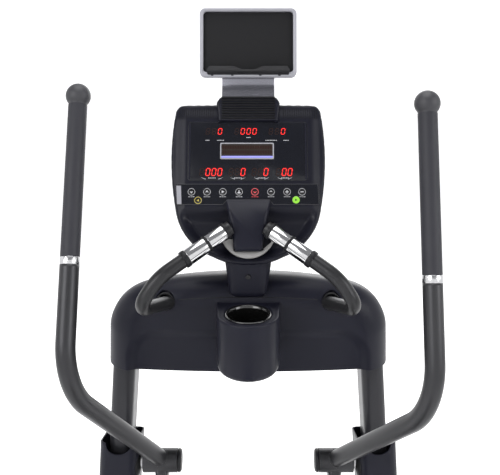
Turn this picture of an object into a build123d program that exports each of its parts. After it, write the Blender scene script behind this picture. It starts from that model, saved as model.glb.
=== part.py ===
from build123d import *
import os
from math import asin, atan2, cos, degrees, hypot, radians, sin

# Elliptical trainer, millimetres. +X is the user's right, +Y is the way the user faces,
# +Z is up. The origin is on the floor at the middle of the footprint.

# ---- overall layout -------------------------------------------------------------------
front_end = 875.0           # foremost point, the rims of the transport wheels
rear_end = -875.0           # rearmost point, the back of the rear stabiliser
fit = 0.3                   # gap between pieces that move past each other
hug = 0.05                  # radial running clearance of a shaft in its bush

# ---- base -----------------------------------------------------------------------------
tube_side = 60.0            # square tube of the stabilisers
foot_height = 20.0          # levelling feet lift the tubes off the floor
steel_wall = 3.0
spine_width = 100.0
spine_height = 50.0
spine_bottom = 25.0
rear_half_span = 270.0
cross_y = 645.0
shoe_rear = 545.0
wheel_diameter = 64.0
wheel_width = 26.0
wheel_bolt_diameter = 10.0
fork_plate = 5.0
foot_diameter = 46.0

# ---- uprights -------------------------------------------------------------------------
post_width = 50.0
post_depth = 100.0
post_corner = 15.0
post_y = 665.0
post_lean = 0.0857          # sideways lean towards the middle, per unit of height
post_lean_height = 1028.0   # height at which the post centre is post_lean_x from the middle
post_lean_x = 272.5
post_top = 1135.0
crossbar_height = 50.0
crossbar_depth = 50.0
bar_plate_half = 130.0
bar_plate_top = 1216.0
bar_plate_thick = 6.0

# ---- swing arms -----------------------------------------------------------------------
pivot_y = 635.0
pivot_z = 780.0
shaft_diameter = 25.0
sleeve_diameter = 54.0
sleeve_bore = 46.0
sleeve_inner = 161.5        # distances of the sleeve's ends from the middle plane
sleeve_outer = 240.0
bush_width = 14.0
cap_thick = 9.5
rest_swing = 2.8            # degrees by which the arms stand apart at rest
grip_x = 343.0
arm_foot_x = 195.0
elbow_back = 276.0          # elbow behind the pivot, towards the user
elbow_up = 312.6
grip_slope = 24.2           # degrees by which the grip leans away from the user
arm_bend = 130.0
arm_diameter = 38.0
arm_wall = 3.0
ring_along = 238.5          # from the elbow corner along the grip
ring_height = 15.0
ball_along = 573.0
ball_diameter = 50.0
core_diameter = 31.0
hanger_x = 198.0            # centre of the hanging bars and the pedal arms
hanger_width = 28.0
hanger_depth = 48.0
hanger_length = 580.0
boss_diameter = 54.0
boss_width = 36.0
hinge_pin_diameter = 16.0
lower_bush_diameter = 30.0

# ---- cranks and pedal arms ------------------------------------------------------------
crank_y = -475.0
crank_z = 330.0
crank_radius = 190.0
crank_inner = 123.0
crank_thick = 24.0
crank_hub_radius = 32.0
crank_tip_radius = 26.0
crank_pin_diameter = 20.0
axle_diameter = 25.0
pin_gap = 0.5               # open joint between the crank and the pedal arm's pin
pedal_tube_width = 40.0
pedal_tube_height = 60.0
fork_reach = 58.0
hub_diameter = 50.0
hub_inner = 150.0
pedal_x = 140.0
pedal_width = 170.0
pedal_length = 380.0
pedal_along = 470.0         # from the lower hinge back to the middle of the pedal
pedal_plate = 6.0
pedal_rim = 24.0
pedal_seat = 42.0           # underside of the pedal above the pedal arm's centre line

# ---- drive ----------------------------------------------------------------------------
cover_half = 115.0
cover_wall = 3.0
cover_edge_round = 14.0
cover_bottom = 85.0
cover_round_front = 215.0
cover_tail_y = -675.0
cover_tail_z = 310.0
cover_tail_round = 175.0
plate_x = 55.0
plate_thick = 6.0
bearing_diameter = 52.0
bearing_width = 15.0
floor_plate_length = 380.0
floor_plate_thick = 8.0
side_plate_foot = 340.0
pulley_radius = 130.0
pulley_x = 25.0
pulley_width = 18.0
belt_thick = 3.0
small_pulley_radius = 26.0
flywheel_y = -695.0
flywheel_z = 265.0
flywheel_radius = 140.0
flywheel_x = -26.0
flywheel_width = 28.0
flywheel_axle_diameter = 16.0
yoke_angle = 20.0           # where the brake yoke is hinged, round the flywheel
yoke_hinge_radius = 166.0
yoke_inner = 146.0
yoke_outer = 153.0
yoke_span = 66.0            # degrees of the flywheel's rim that the yoke covers
yoke_plate_depth = 34.0
yoke_plate_thick = 5.0
yoke_side_gap = 4.0

# ---- shroud, cup holder and mast ------------------------------------------------------
shroud_bottom = 1042.0
shroud_top = 1248.0
shroud_front = 548.0
shroud_back = 740.0
shroud_post_gap = 2.7       # between the posts and the inside of the shroud
shroud_wall = 3.0
seam_height = 1206.0
lid_drop = 26.0             # fall of the shroud's top towards the back
cap_half = 164.0
boss_spot = 120.0           # sideways place of the bosses that hold the shroud's back
cup_y = 490.0
cup_outer_radius = 62.5
cup_top = 1205.0
cup_bottom = 1084.0
cup_bore_radius = 42.5
liner_radius = 42.0
liner_wall = 2.5
liner_flange_radius = 46.5
liner_depth = 98.0
mast_width = 60.0
mast_depth = 30.0
mast_cover_top_half = 47.0
mast_cover_bottom_half = 38.0
mast_cover_top = 1292.0
mast_cover_nose_top = 1279.0
mast_cover_dip = (593.0, 1258.0)    # Y and Z of the low point behind the nose
mast_screw_lift = 56.0              # above the shroud's seam
mast_screw_diameter = 9.0

pivot_cover_width = 86.0
pivot_cover_depth = 138.0
pivot_cover_wall = 3.0
pivot_cover_top = 848.0
pivot_cover_back_top = 806.0
pivot_cover_bottom = 620.0

# ---- fixed handlebars -----------------------------------------------------------------
bar_diameter = 28.6
bar_wall = 2.5
grip_start = (36.0, 541.0, 1367.0)
bar_knee = (174.0, 470.0, 1287.0)
bar_turn = (215.0, 464.0, 1223.0)
bar_hole = (171.0, 548.0, 1203.0)
bar_hole_clearance = 3.0
sleeve_thick = 1.2
plate_sheet = 1.2
grip_plate_spans = ((16.0, 54.0), (60.0, 104.0))
grip_sleeve_span = (8.0, 114.0)

# ---- console and rack -----------------------------------------------------------------
console_tilt = 24.5
console_center = (0.0, 605.0, 1438.8)
console_face = 5.0
console_front_depth = 22.0
console_depth = 55.0
console_wall = 3.0
console_back_taper = 0.93
panel_width = 246.0
panel_height = 124.0
panel_up = 70.0
panel_thick = 3.0
key_width = 284.0
key_top = 2.0
key_bottom = -42.0
key_thick = 1.0
board_gap = 10.0
tongue_rise = 25.0
mast_meets_console = -60.0
rack_tilt = 15.0
rack_foot = (0.0, 690.0, 1648.6)
rack_width = 202.0
rack_height = 145.0
rack_depth = 16.0
rack_recess = 10.0
rack_rim = 7.3
rack_sill = 10.5
bracket_width = 110.0
bracket_sheet = 3.0
bracket_set = 9.0           # front of the bracket sheet behind the console face

os.makedirs("parts", exist_ok=True)


# ---- helpers --------------------------------------------------------------------------
def save(piece, name):
    """Label a finished piece and write it to its own STEP file."""
    piece.label = name
    export_step(piece, f"parts/{name}.step")


def save_pair(piece, name):
    """Write a right-hand piece and its mirror image on the left."""
    save(piece, f"right_{name}")
    save(mirror(piece, about=Plane.YZ), f"left_{name}")


def both_sides(piece):
    """A group that holds a right-hand piece and its mirror image."""
    return Compound(children=[*piece.solids(), *mirror(piece, about=Plane.YZ).solids()])


def across(x, y, z):
    """Plane whose normal is +X, so a sketch on it is seen from the side."""
    return Plane(origin=(x, y, z), x_dir=(0, 1, 0), z_dir=(1, 0, 0))


def tilted(center, degrees_back):
    """Plane facing the user, leaning back; local X is right and local Y is up the slope."""
    lean = radians(degrees_back)
    return Plane(origin=center, x_dir=(1, 0, 0), z_dir=(0, -cos(lean), sin(lean)))


def post_x(z):
    return post_lean_x - (z - post_lean_height) * post_lean


shroud_half = post_x(shroud_bottom) + post_width / 2 + shroud_post_gap + shroud_wall
console_plane = tilted(console_center, console_tilt)
rack_plane = tilted(rack_foot, rack_tilt)
pivot_axis = Axis((0, pivot_y, pivot_z), (1, 0, 0))
tube_center_z = foot_height + tube_side / 2

# ---- linkage at rest: the crank angle and the pedal arm's length that close it ---------
lower_up = pivot_z - hanger_length * cos(radians(rest_swing))
lower_shift = hanger_length * sin(radians(rest_swing))
reach_right = pivot_y + lower_shift - crank_y
reach_left = pivot_y - lower_shift - crank_y
drop = crank_z - lower_up
reach_sum = reach_right + reach_left
side_term = 2 * crank_radius * reach_sum
height_term = 4 * crank_radius * drop
gap_term = (reach_right - reach_left) * reach_sum
crank_lean = asin(gap_term / hypot(side_term, height_term)) + atan2(height_term, side_term)
pin_shift = crank_radius * sin(crank_lean)
pin_lift = crank_radius * cos(crank_lean)
pedal_arm_length = hypot(reach_right - pin_shift, drop + pin_lift)
pedal_tilt_right = degrees(atan2(drop + pin_lift, reach_right - pin_shift))
pedal_tilt_left = degrees(atan2(drop - pin_lift, reach_left + pin_shift))

# ======================================================================================
# Base
# ======================================================================================
shoe_x = post_x(foot_height + tube_side)
shoe_front = front_end - wheel_diameter - 11
wheel_y = front_end - wheel_diameter / 2
wheel_z = wheel_diameter / 2 + 4


def square_tube(plane, width, height, length, wall=steel_wall):
    """Closed-end rectangular tube, extruded both ways from its middle plane."""
    with BuildPart() as tube:
        with BuildSketch(plane):
            RectangleRounded(width, height, 6)
        extrude(amount=length / 2, both=True)
        with BuildSketch(plane):
            RectangleRounded(width - 2 * wall, height - 2 * wall, 4)
        extrude(amount=length / 2 - wall, both=True, mode=Mode.SUBTRACT)
    return tube.part


spine_rear = rear_end + tube_side
spine_front = cross_y - tube_side / 2
with BuildPart() as base_spine:
    add(square_tube(
        Plane.XZ.offset(-(spine_rear + spine_front) / 2).shift_origin(
            (0, (spine_rear + spine_front) / 2, spine_bottom + spine_height / 2)),
        spine_width, spine_height, spine_front - spine_rear))
save(base_spine.part, "base_spine")

with BuildPart() as rear_stabilizer:
    add(square_tube(across(0, rear_end + tube_side / 2, tube_center_z), tube_side, tube_side,
                    2 * rear_half_span))
save(rear_stabilizer.part, "rear_stabilizer")

shoe_length = shoe_front - shoe_rear
with BuildPart() as front_stabilizer:
    add(square_tube(across(0, cross_y, tube_center_z), tube_side, tube_side,
                    2 * shoe_x - tube_side))
    for side in (-1, 1):
        shoe_plane = Plane(origin=(side * shoe_x, (shoe_front + shoe_rear) / 2, tube_center_z),
                           x_dir=(1, 0, 0), z_dir=(0, 1, 0))
        add(square_tube(shoe_plane, tube_side, tube_side, shoe_length))
        for cheek in (-1, 1):
            cheek_x = side * shoe_x + cheek * (wheel_width / 2 + fit + fork_plate / 2)
            with BuildSketch(across(cheek_x, 0, 0)):
                with BuildLine():
                    Polyline((shoe_front - 1, foot_height + 8), (wheel_y, wheel_z - 14),
                             (wheel_y + 14, wheel_z), (wheel_y, wheel_z + 14),
                             (shoe_front - 1, foot_height + tube_side - 8), close=True)
                make_face()
            extrude(amount=fork_plate / 2, both=True)
        with Locations(across(side * shoe_x, wheel_y, wheel_z)):
            Cylinder(wheel_bolt_diameter / 2, 2 * tube_side, mode=Mode.SUBTRACT)
save(front_stabilizer.part, "front_stabilizer")

with BuildPart() as transport_wheel:
    with BuildSketch(across(shoe_x, wheel_y, wheel_z)):
        Circle(wheel_diameter / 2)
        Circle(wheel_bolt_diameter / 2 + hug, mode=Mode.SUBTRACT)
    extrude(amount=wheel_width / 2, both=True)
    fillet(transport_wheel.edges().filter_by(GeomType.CIRCLE).group_by(SortBy.RADIUS)[-1], 4)
save_pair(transport_wheel.part, "transport_wheel")

foot_spots = [(side * shoe_x, y) for side in (-1, 1) for y in (shoe_rear + 35, shoe_front - 35)]
foot_spots += [(side * (rear_half_span - 30), rear_end + tube_side / 2) for side in (-1, 1)]
with BuildPart() as levelling_feet:
    with Locations(*[(x, y, 0) for x, y in foot_spots]):
        Cylinder(foot_diameter / 2, foot_height - 6,
                 align=(Align.CENTER, Align.CENTER, Align.MIN))
        Cylinder(7, foot_height, align=(Align.CENTER, Align.CENTER, Align.MIN))
save(levelling_feet.part, "levelling_feet")

# ======================================================================================
# Uprights and crossbar
# ======================================================================================
post_foot = foot_height + tube_side
lean_dir = Vector(-post_lean, 0, 1).normalized()


def post_plane(z):
    return Plane(origin=(post_x(z), post_y, z), x_dir=(1, 0, post_lean), z_dir=lean_dir)


def leaning(width, depth, corner, wall, bottom, top):
    """Rounded bar or, with a wall, tube along the right-hand post's axis, with level ends."""
    with BuildPart() as tube:
        with BuildSketch(post_plane((bottom + top) / 2)):
            RectangleRounded(width, depth, corner)
            if wall:
                RectangleRounded(width - 2 * wall, depth - 2 * wall, corner - wall,
                                 mode=Mode.SUBTRACT)
        extrude(amount=(top - bottom) / 2 + width, both=True)
        split(bisect_by=Plane.XY.offset(bottom), keep=Keep.TOP)
        split(bisect_by=Plane.XY.offset(top), keep=Keep.BOTTOM)
    return tube.part


with BuildPart() as upright:
    add(leaning(post_width, post_depth, post_corner, steel_wall, post_foot, post_top))
    with Locations(across(post_x(pivot_z), pivot_y, pivot_z)):
        Cylinder(shaft_diameter / 2, 2 * post_width, mode=Mode.SUBTRACT)
save_pair(upright.part, "upright")

crossbar_z = post_top - crossbar_height / 2 - 5
crossbar_front = post_y - crossbar_depth / 2
with BuildPart() as crossbar_blank:
    add(square_tube(across(0, post_y, crossbar_z), crossbar_depth, crossbar_height,
                    2 * post_x(crossbar_z)))
    with Locations((0, crossbar_front + bar_plate_thick / 2,
                    (bar_plate_top + crossbar_z) / 2)):
        Box(2 * bar_plate_half, bar_plate_thick, bar_plate_top - crossbar_z)
    for side in (-1, 1):
        with BuildSketch(post_plane(crossbar_z) if side > 0 else
                         Plane(origin=(-post_x(crossbar_z), post_y, crossbar_z),
                               x_dir=(1, 0, -post_lean), z_dir=(post_lean, 0, 1))):
            with Locations((side * post_width, 0)):
                Rectangle(3 * post_width, 2 * post_depth)
        extrude(amount=crossbar_height, both=True, mode=Mode.SUBTRACT)

# ======================================================================================
# Shroud, cup holder, mast
# ======================================================================================
def shroud_solid(inset, floor):
    """Three profiles, seen from the front, the side and above, and the shape they share."""
    half = shroud_half - inset
    top = shroud_top - inset
    front = shroud_front + inset
    back = shroud_back - inset
    with BuildPart() as body:
        with BuildSketch(Plane.XZ.offset(-front)):
            with BuildLine():
                right = Polyline((0, floor), (half, floor), (half - 9, shroud_bottom + 88))
                shoulder = ThreePointArc(right @ 1, (half - 34, top - 56), (half - 96, top - 22))
                crown = ThreePointArc(shoulder @ 1, (half - 180, top - 7), (0, top))
                Line(crown @ 1, right @ 0)
            make_face()
            mirror(about=Plane.YZ)
        extrude(amount=front - back)
        with BuildSketch(Plane.YZ):
            with BuildLine():
                base = Polyline((back, shroud_bottom + 150), (back, floor), (front + 18, floor),
                                (front + 3, shroud_bottom + 110), (front, seam_height - 10))
                brow = ThreePointArc(base @ 1, (front + 14, top - 17), (front + 56, top))
                lid = Line(brow @ 1, (back - 40, top - lid_drop))
                ThreePointArc(lid @ 1, (back - 12, top - lid_drop - 16), base @ 0)
            make_face()
        extrude(amount=half, both=True, mode=Mode.INTERSECT)
        with BuildSketch(Plane.XY.offset(floor)):
            with BuildLine():
                nose = ThreePointArc((0, front), (half - 180, front + 3), (half - 62, front + 12))
                corner = ThreePointArc(nose @ 1, (half - 18, front + 31), (half, front + 74))
                rest = Polyline(corner @ 1, (half, back - 22), (half - 22, back), (0, back))
                Line(rest @ 1, nose @ 0)
            make_face()
            mirror(about=Plane.YZ)
        extrude(amount=top - floor, mode=Mode.INTERSECT)
    return body.part


shroud_outer = shroud_solid(0, shroud_bottom)
shroud_inner = shroud_solid(shroud_wall, shroud_bottom - 20)

with BuildPart() as cup_body:
    with BuildSketch(Plane.XY.offset(cup_bottom)):
        with Locations((0, cup_y)):
            Circle(cup_outer_radius)
        with Locations((0, (cup_y + shroud_front) / 2 + 10)):
            Rectangle(2 * cup_outer_radius, shroud_front - cup_y + 20)
    extrude(amount=cup_top - cup_bottom)

mast_foot = Vector(0, post_y, crossbar_z + crossbar_height / 2)
mast_head = console_plane.from_local_coords(Vector(0, mast_meets_console, -console_depth - 5))
mast_axis = (mast_head - mast_foot).normalized()
mast_side = Plane(origin=mast_foot, x_dir=(1, 0, 0), z_dir=mast_axis)

bar_entry = Vector(*bar_hole)
bar_run = (bar_entry - Vector(*bar_turn)).normalized()
bar_end = bar_entry + bar_run * ((crossbar_front - bar_entry.Y) / bar_run.Y)


def mast_slug(extra):
    """The mast's outer shape, grown by extra on each side."""
    with BuildPart() as slug:
        with BuildSketch(mast_side):
            RectangleRounded(mast_width + 2 * extra, mast_depth + 2 * extra, 6 + extra)
        extrude(amount=(mast_head - mast_foot).length + 40)
    return slug.part


def bar_slug(radius):
    """Straight cylinders along the last run of both fixed bars."""
    with BuildPart() as slug:
        with BuildSketch(Plane(origin=bar_entry - bar_run * 40, z_dir=bar_run)):
            Circle(radius)
        extrude(amount=120)
        mirror(about=Plane.YZ)
    return slug.part


with BuildPart() as shroud_shell:
    add(shroud_outer)
    add(shroud_inner, mode=Mode.SUBTRACT)
    add(cup_body.part - shroud_inner)
    for side in (-1, 1):
        with BuildSketch(Plane(origin=(side * boss_spot, post_y + crossbar_depth / 2,
                                       crossbar_z), x_dir=(1, 0, 0), z_dir=(0, 1, 0))):
            Circle(9)
        extrude(amount=shroud_back - 1 - post_y - crossbar_depth / 2)
    with Locations((0, cup_y, cup_top)):
        Cylinder(cup_bore_radius, 2 * liner_depth, mode=Mode.SUBTRACT)
    add(mast_slug(2), mode=Mode.SUBTRACT)
    add(bar_slug(bar_diameter / 2 + bar_hole_clearance), mode=Mode.SUBTRACT)

with BuildPart() as cap_region:
    with Locations((0, (shroud_front + shroud_back) / 2, seam_height)):
        Box(2 * cap_half, shroud_back - shroud_front + 20, 100,
            align=(Align.CENTER, Align.CENTER, Align.MIN))
with BuildPart() as shroud_body:
    add(shroud_shell.part - cap_region.part)
save(shroud_body.part, "shroud_body")
with BuildPart() as shroud_cap:
    add(shroud_shell.part & cap_region.part)
save(shroud_cap.part, "shroud_cap")

with BuildPart() as cup_liner:
    with BuildSketch(Plane.XY.offset(cup_top)):
        with Locations((0, cup_y)):
            Circle(liner_flange_radius)
    extrude(amount=2)
    with BuildSketch(Plane.XY.offset(cup_top)):
        with Locations((0, cup_y)):
            Circle(liner_radius)
    extrude(amount=-liner_depth)
    with Locations((0, cup_y, cup_top - liner_depth + liner_wall)):
        Cylinder(liner_radius - liner_wall, 2 * liner_depth,
                 align=(Align.CENTER, Align.CENTER, Align.MIN), mode=Mode.SUBTRACT)
save(cup_liner.part, "cup_liner")

with BuildPart() as top_crossbar:
    add(crossbar_blank.part)
    add(mast_slug(1), mode=Mode.SUBTRACT)
save(top_crossbar.part, "top_crossbar")

with BuildPart() as console_mast:
    add(mast_slug(0))
    with BuildSketch(mast_side.offset(-1)):
        RectangleRounded(mast_width - 2 * steel_wall, mast_depth - 2 * steel_wall, 3)
    extrude(amount=(mast_head - mast_foot).length + 60, mode=Mode.SUBTRACT)
    split(bisect_by=console_plane.offset(-console_depth - 5), keep=Keep.BOTTOM)
    split(bisect_by=Plane.XY.offset(mast_foot.Z), keep=Keep.TOP)
    with BuildSketch(console_plane.offset(-console_depth - 5)):
        with Locations((0, mast_meets_console)):
            RectangleRounded(100, 90, 8)
    extrude(amount=5)
save(console_mast.part, "console_mast")

with BuildPart() as mast_cover:
    with BuildSketch(Plane.YZ):
        with BuildLine():
            Polyline((shroud_front - 6, seam_height + 8),
                     (shroud_front - 2, mast_cover_nose_top), mast_cover_dip,
                     (mast_cover_dip[0] + 20, mast_cover_top),
                     (shroud_back - 60, mast_cover_top),
                     (shroud_back - 60, seam_height + 8), close=True)
        make_face()
    extrude(amount=mast_cover_top_half, both=True)
    with BuildSketch(Plane.XZ.offset(-shroud_front + 20)):
        with BuildLine():
            Polyline((-mast_cover_bottom_half, seam_height), (mast_cover_bottom_half, seam_height),
                     (mast_cover_top_half, mast_cover_top),
                     (-mast_cover_top_half, mast_cover_top), close=True)
        make_face()
    extrude(amount=-shroud_back, mode=Mode.INTERSECT)
    with Locations((0, (shroud_front + shroud_back) / 2 - 30, shroud_top)):
        Box(2 * mast_cover_bottom_half - 8, 106, 160, mode=Mode.SUBTRACT)
    add(shroud_outer, mode=Mode.SUBTRACT)
save(mast_cover.part, "mast_cover")

# ======================================================================================
# Console
# ======================================================================================
def console_outline(inset):
    """Outline of the console, seen square on."""
    with BuildSketch() as outline:
        with BuildLine():
            top = Line((0, 172), (138, 170))
            corner = ThreePointArc(top @ 1, (146.5, 167), (150.5, 158))
            flank = ThreePointArc(corner @ 1, (159, 65), (147, -52))
            chin = ThreePointArc(flank @ 1, (118, -112), (72, -145))
            foot = ThreePointArc(chin @ 1, (38, -158), (0, -162.5))
            Line(foot @ 1, top @ 0)
        make_face()
        mirror(about=Plane.YZ)
        if inset:
            offset(amount=-inset)
    return outline.sketch


with BuildPart() as console_front:
    with BuildSketch(console_plane):
        add(console_outline(0))
    extrude(amount=-console_front_depth)
    fillet(console_front.edges().group_by(Axis(console_center, console_plane.z_dir))[-1], 5)
    with BuildSketch(console_plane.offset(-console_face)):
        add(console_outline(console_wall))
    extrude(amount=-console_front_depth, mode=Mode.SUBTRACT)
    with BuildSketch(console_plane.offset(0.5 - console_face)):
        with Locations((-75, panel_up - 30), (75, panel_up - 30),
                       (-75, panel_up + 30), (75, panel_up + 30)):
            Circle(4)
    extrude(amount=-board_gap - 0.5)
    with BuildSketch(console_plane):
        with Locations((0, 162)):
            Rectangle(116, 44)
    extrude(amount=8)
    with BuildSketch(console_plane):
        with Locations((0, panel_up)):
            RectangleRounded(panel_width, panel_height, 3)
    extrude(amount=-panel_thick, mode=Mode.SUBTRACT)
    with BuildSketch(console_plane):
        with Locations((0, (key_top + key_bottom) / 2)):
            Rectangle(key_width, key_top - key_bottom)
    extrude(amount=-key_thick, mode=Mode.SUBTRACT)
    with BuildSketch(console_plane.offset(tongue_rise)):
        with BuildLine():
            Polyline((-45, -34), (45, -34), (31, -113), (30, -134), (-30, -134), (-31, -113),
                     close=True)
        make_face()
    extrude(amount=-tongue_rise - key_thick - 1)
    with BuildSketch(console_plane.offset(-bracket_set)):
        with Locations((0, 165)):
            Rectangle(bracket_width + 2 * fit, 60)
    extrude(amount=-bracket_sheet, mode=Mode.SUBTRACT)
save(console_front.part, "console_front")

with BuildPart() as console_back:
    with BuildSketch(console_plane.offset(-console_front_depth)):
        add(console_outline(0))
    with BuildSketch(console_plane.offset(-console_depth)):
        add(scale(console_outline(0), by=console_back_taper))
    loft(ruled=True)
    with BuildSketch(console_plane.offset(-console_front_depth)):
        add(console_outline(console_wall))
    with BuildSketch(console_plane.offset(console_wall - console_depth)):
        add(scale(console_outline(console_wall), by=console_back_taper))
    loft(ruled=True, mode=Mode.SUBTRACT)
save(console_back.part, "console_back")

with BuildPart() as display_panel:
    with BuildSketch(console_plane):
        with Locations((0, panel_up)):
            RectangleRounded(panel_width, panel_height, 3)
    extrude(amount=-panel_thick)
save(display_panel.part, "display_panel")

with BuildPart() as lcd_bezel:
    with BuildSketch(console_plane):
        with Locations((0, 70.4)):
            Rectangle(110, 34.6)
            Rectangle(104, 28, mode=Mode.SUBTRACT)
    extrude(amount=1.5)
save(lcd_bezel.part, "lcd_bezel")

with BuildPart() as keypad:
    with BuildSketch(console_plane.offset(-key_thick)):
        with Locations((0, (key_top + key_bottom) / 2)):
            Rectangle(key_width, key_top - key_bottom)
        with Locations((0, key_bottom)):
            Rectangle(96, 24, mode=Mode.SUBTRACT)
    extrude(amount=key_thick)
save(keypad.part, "keypad")

with BuildPart() as console_board:
    with BuildSketch(console_plane.offset(-console_face - board_gap)):
        with Locations((0, panel_up)):
            Rectangle(200, 100)
    extrude(amount=-1.6)
save(console_board.part, "console_board")

with BuildPart() as console_trim:
    with BuildSketch(console_plane):
        with BuildLine():
            rim = Polyline((-31, -122), (-53, -122))
            bow = ThreePointArc(rim @ 1, (0, -151), (53, -122))
            Polyline(bow @ 1, (31, -122), (31, -137), (-31, -137), rim @ 0)
        make_face()
    extrude(amount=4)
save(console_trim.part, "console_trim")

# ---- rack for a book or a tablet -------------------------------------------------------
with BuildPart() as rack_frame:
    with BuildSketch(rack_plane):
        with Locations((0, rack_height / 2)):
            RectangleRounded(rack_width, rack_height, 11)
    extrude(amount=-rack_depth)
    with BuildSketch(rack_plane):
        with Locations((0, (rack_height + rack_sill - rack_rim) / 2)):
            RectangleRounded(rack_width - 2 * rack_rim, rack_height - rack_sill - rack_rim, 6)
    extrude(amount=-rack_recess, mode=Mode.SUBTRACT)
save(rack_frame.part, "rack_frame")

with BuildPart() as rack_lip:
    with BuildSketch(rack_plane.offset(-rack_recess)):
        with Locations((0, rack_sill + 7)):
            Rectangle(171, 14)
    extrude(amount=rack_recess + 12)
    with BuildSketch(rack_plane.offset(-rack_recess + 3)):
        with Locations((0, rack_sill + 10)):
            Rectangle(171, 14)
    extrude(amount=rack_recess + 6, mode=Mode.SUBTRACT)
save(rack_lip.part, "rack_lip")

bracket_low = console_plane.from_local_coords(Vector(0, 136, -bracket_set))
bracket_exit = console_plane.from_local_coords(Vector(0, 178, -bracket_set))
rack_back = rack_plane.offset(-rack_depth)
bracket_join = rack_back.from_local_coords(Vector(0, 0, 0))
bracket_high = rack_back.from_local_coords(Vector(0, 60, 0))
with BuildPart() as rack_bracket:
    with BuildSketch(Plane.YZ):
        with BuildLine():
            FilletPolyline((bracket_low.Y, bracket_low.Z), (bracket_exit.Y, bracket_exit.Z),
                           (bracket_join.Y + 1.5, bracket_join.Z - 16),
                           (bracket_high.Y, bracket_high.Z), radius=24)
            offset(amount=-bracket_sheet, side=Side.RIGHT)
        make_face()
    extrude(amount=bracket_width / 2, both=True)
save(rack_bracket.part, "rack_bracket")

# ======================================================================================
# Fixed handlebars with their sensor grips
# ======================================================================================
grip_origin = Vector(*grip_start)
grip_dir = (Vector(*bar_knee) - grip_origin).normalized()


def grip_ring(outer, inner, start, end):
    """Hollow cylinder round the straight grip, between two distances along it."""
    with BuildPart() as ring:
        with BuildSketch(Plane(origin=grip_origin + grip_dir * start, z_dir=grip_dir)):
            Circle(outer / 2)
            Circle(inner / 2, mode=Mode.SUBTRACT)
        extrude(amount=end - start)
    return ring.part


with BuildPart() as fixed_bar:
    with BuildLine():
        FilletPolyline(grip_start, bar_knee, bar_turn, tuple(bar_end + bar_run * 20),
                       radius=[90, 30])
    with BuildSketch(Plane(origin=grip_origin, z_dir=grip_dir)):
        Circle(bar_diameter / 2)
        Circle(bar_diameter / 2 - bar_wall, mode=Mode.SUBTRACT)
    sweep()
    split(bisect_by=Plane.XZ.offset(-crossbar_front), keep=Keep.TOP)
    add(console_front.part, mode=Mode.SUBTRACT)
save(both_sides(fixed_bar.part.solids().sort_by(SortBy.VOLUME)[-1]), "fixed_bars")

sleeve_diameter_out = bar_diameter + 2 * sleeve_thick
plates_diameter = sleeve_diameter_out + 2 * plate_sheet
with BuildPart() as sensor_grip:
    add(grip_ring(sleeve_diameter_out, bar_diameter, *grip_sleeve_span))
    for start, end in ((grip_sleeve_span[0], grip_plate_spans[0][0]),
                       (grip_plate_spans[0][1], grip_plate_spans[1][0]),
                       (grip_plate_spans[1][1], grip_sleeve_span[1])):
        add(grip_ring(plates_diameter + 1, sleeve_diameter_out - 0.4, start, end))
    add(console_front.part, mode=Mode.SUBTRACT)
save(both_sides(sensor_grip.part), "sensor_grips")

with BuildPart() as sensor_plate:
    for start, end in grip_plate_spans:
        add(grip_ring(plates_diameter, sleeve_diameter_out, start, end))
    with BuildSketch(Plane(origin=grip_origin, x_dir=Vector(0, 0, 1).cross(grip_dir),
                           z_dir=grip_dir)):
        Rectangle(2 * plates_diameter, 3)
    extrude(amount=grip_sleeve_span[1], mode=Mode.SUBTRACT)
save(both_sides(sensor_plate.part), "sensor_plates")

# ======================================================================================
# Pivots: shafts, caps and covers
# ======================================================================================
shaft_end = post_x(pivot_z) + post_width / 2
with BuildPart() as pivot_shaft:
    with BuildSketch(across(sleeve_inner - pin_gap, pivot_y, pivot_z)):
        Circle(shaft_diameter / 2)
    extrude(amount=shaft_end + 8 - sleeve_inner + pin_gap)
    with BuildSketch(across(shaft_end + 2, pivot_y, pivot_z)):
        RegularPolygon(19, 6)
    extrude(amount=8)
    with BuildSketch(across(sleeve_outer + fit, pivot_y, pivot_z)):
        Circle(shaft_diameter / 2 + 5)
    extrude(amount=4)
save(both_sides(pivot_shaft.part), "pivot_shafts")

with BuildPart() as pivot_cap:
    with BuildSketch(across(sleeve_inner - pin_gap, pivot_y, pivot_z)):
        Circle(sleeve_diameter / 2)
    extrude(amount=-cap_thick)
    fillet(pivot_cap.edges().sort_by(Axis.X)[0], cap_thick - 1)
save(both_sides(pivot_cap.part), "pivot_caps")

cover_front = post_y - pivot_cover_depth / 2
with BuildPart() as cover_tube:
    add(leaning(pivot_cover_width, pivot_cover_depth, 18, pivot_cover_wall,
                pivot_cover_bottom, pivot_cover_top))
    with Locations(across(post_x(pivot_z) - pivot_cover_width / 2, pivot_y, pivot_z)):
        Cylinder(sleeve_diameter / 2 + 8, pivot_cover_width, mode=Mode.SUBTRACT)
    add(leaning(pivot_cover_width, pivot_cover_depth, 18, 0, pivot_cover_bottom,
                pivot_cover_bottom + 2 * pivot_cover_wall))
    add(leaning(post_width + 2 * fit, post_depth + 2 * fit, post_corner, 0,
                pivot_cover_bottom - 10, pivot_cover_bottom + 20), mode=Mode.SUBTRACT)
    with Locations((post_x(pivot_cover_top), cover_front, pivot_cover_top)):
        Cylinder(post_width / 2 + 4, pivot_cover_depth / 2, rotation=(90, 0, 0),
                 mode=Mode.SUBTRACT)
    with BuildSketch(Plane.YZ):
        with BuildLine():
            Polyline((cover_front + 12, pivot_cover_top + 1),
                     (cover_front + pivot_cover_depth + 1, pivot_cover_back_top),
                     (cover_front + pivot_cover_depth + 1, pivot_cover_top + 1), close=True)
        make_face()
    extrude(amount=post_x(0) + pivot_cover_width, mode=Mode.SUBTRACT)
save(both_sides(cover_tube.part), "pivot_covers")

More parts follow.
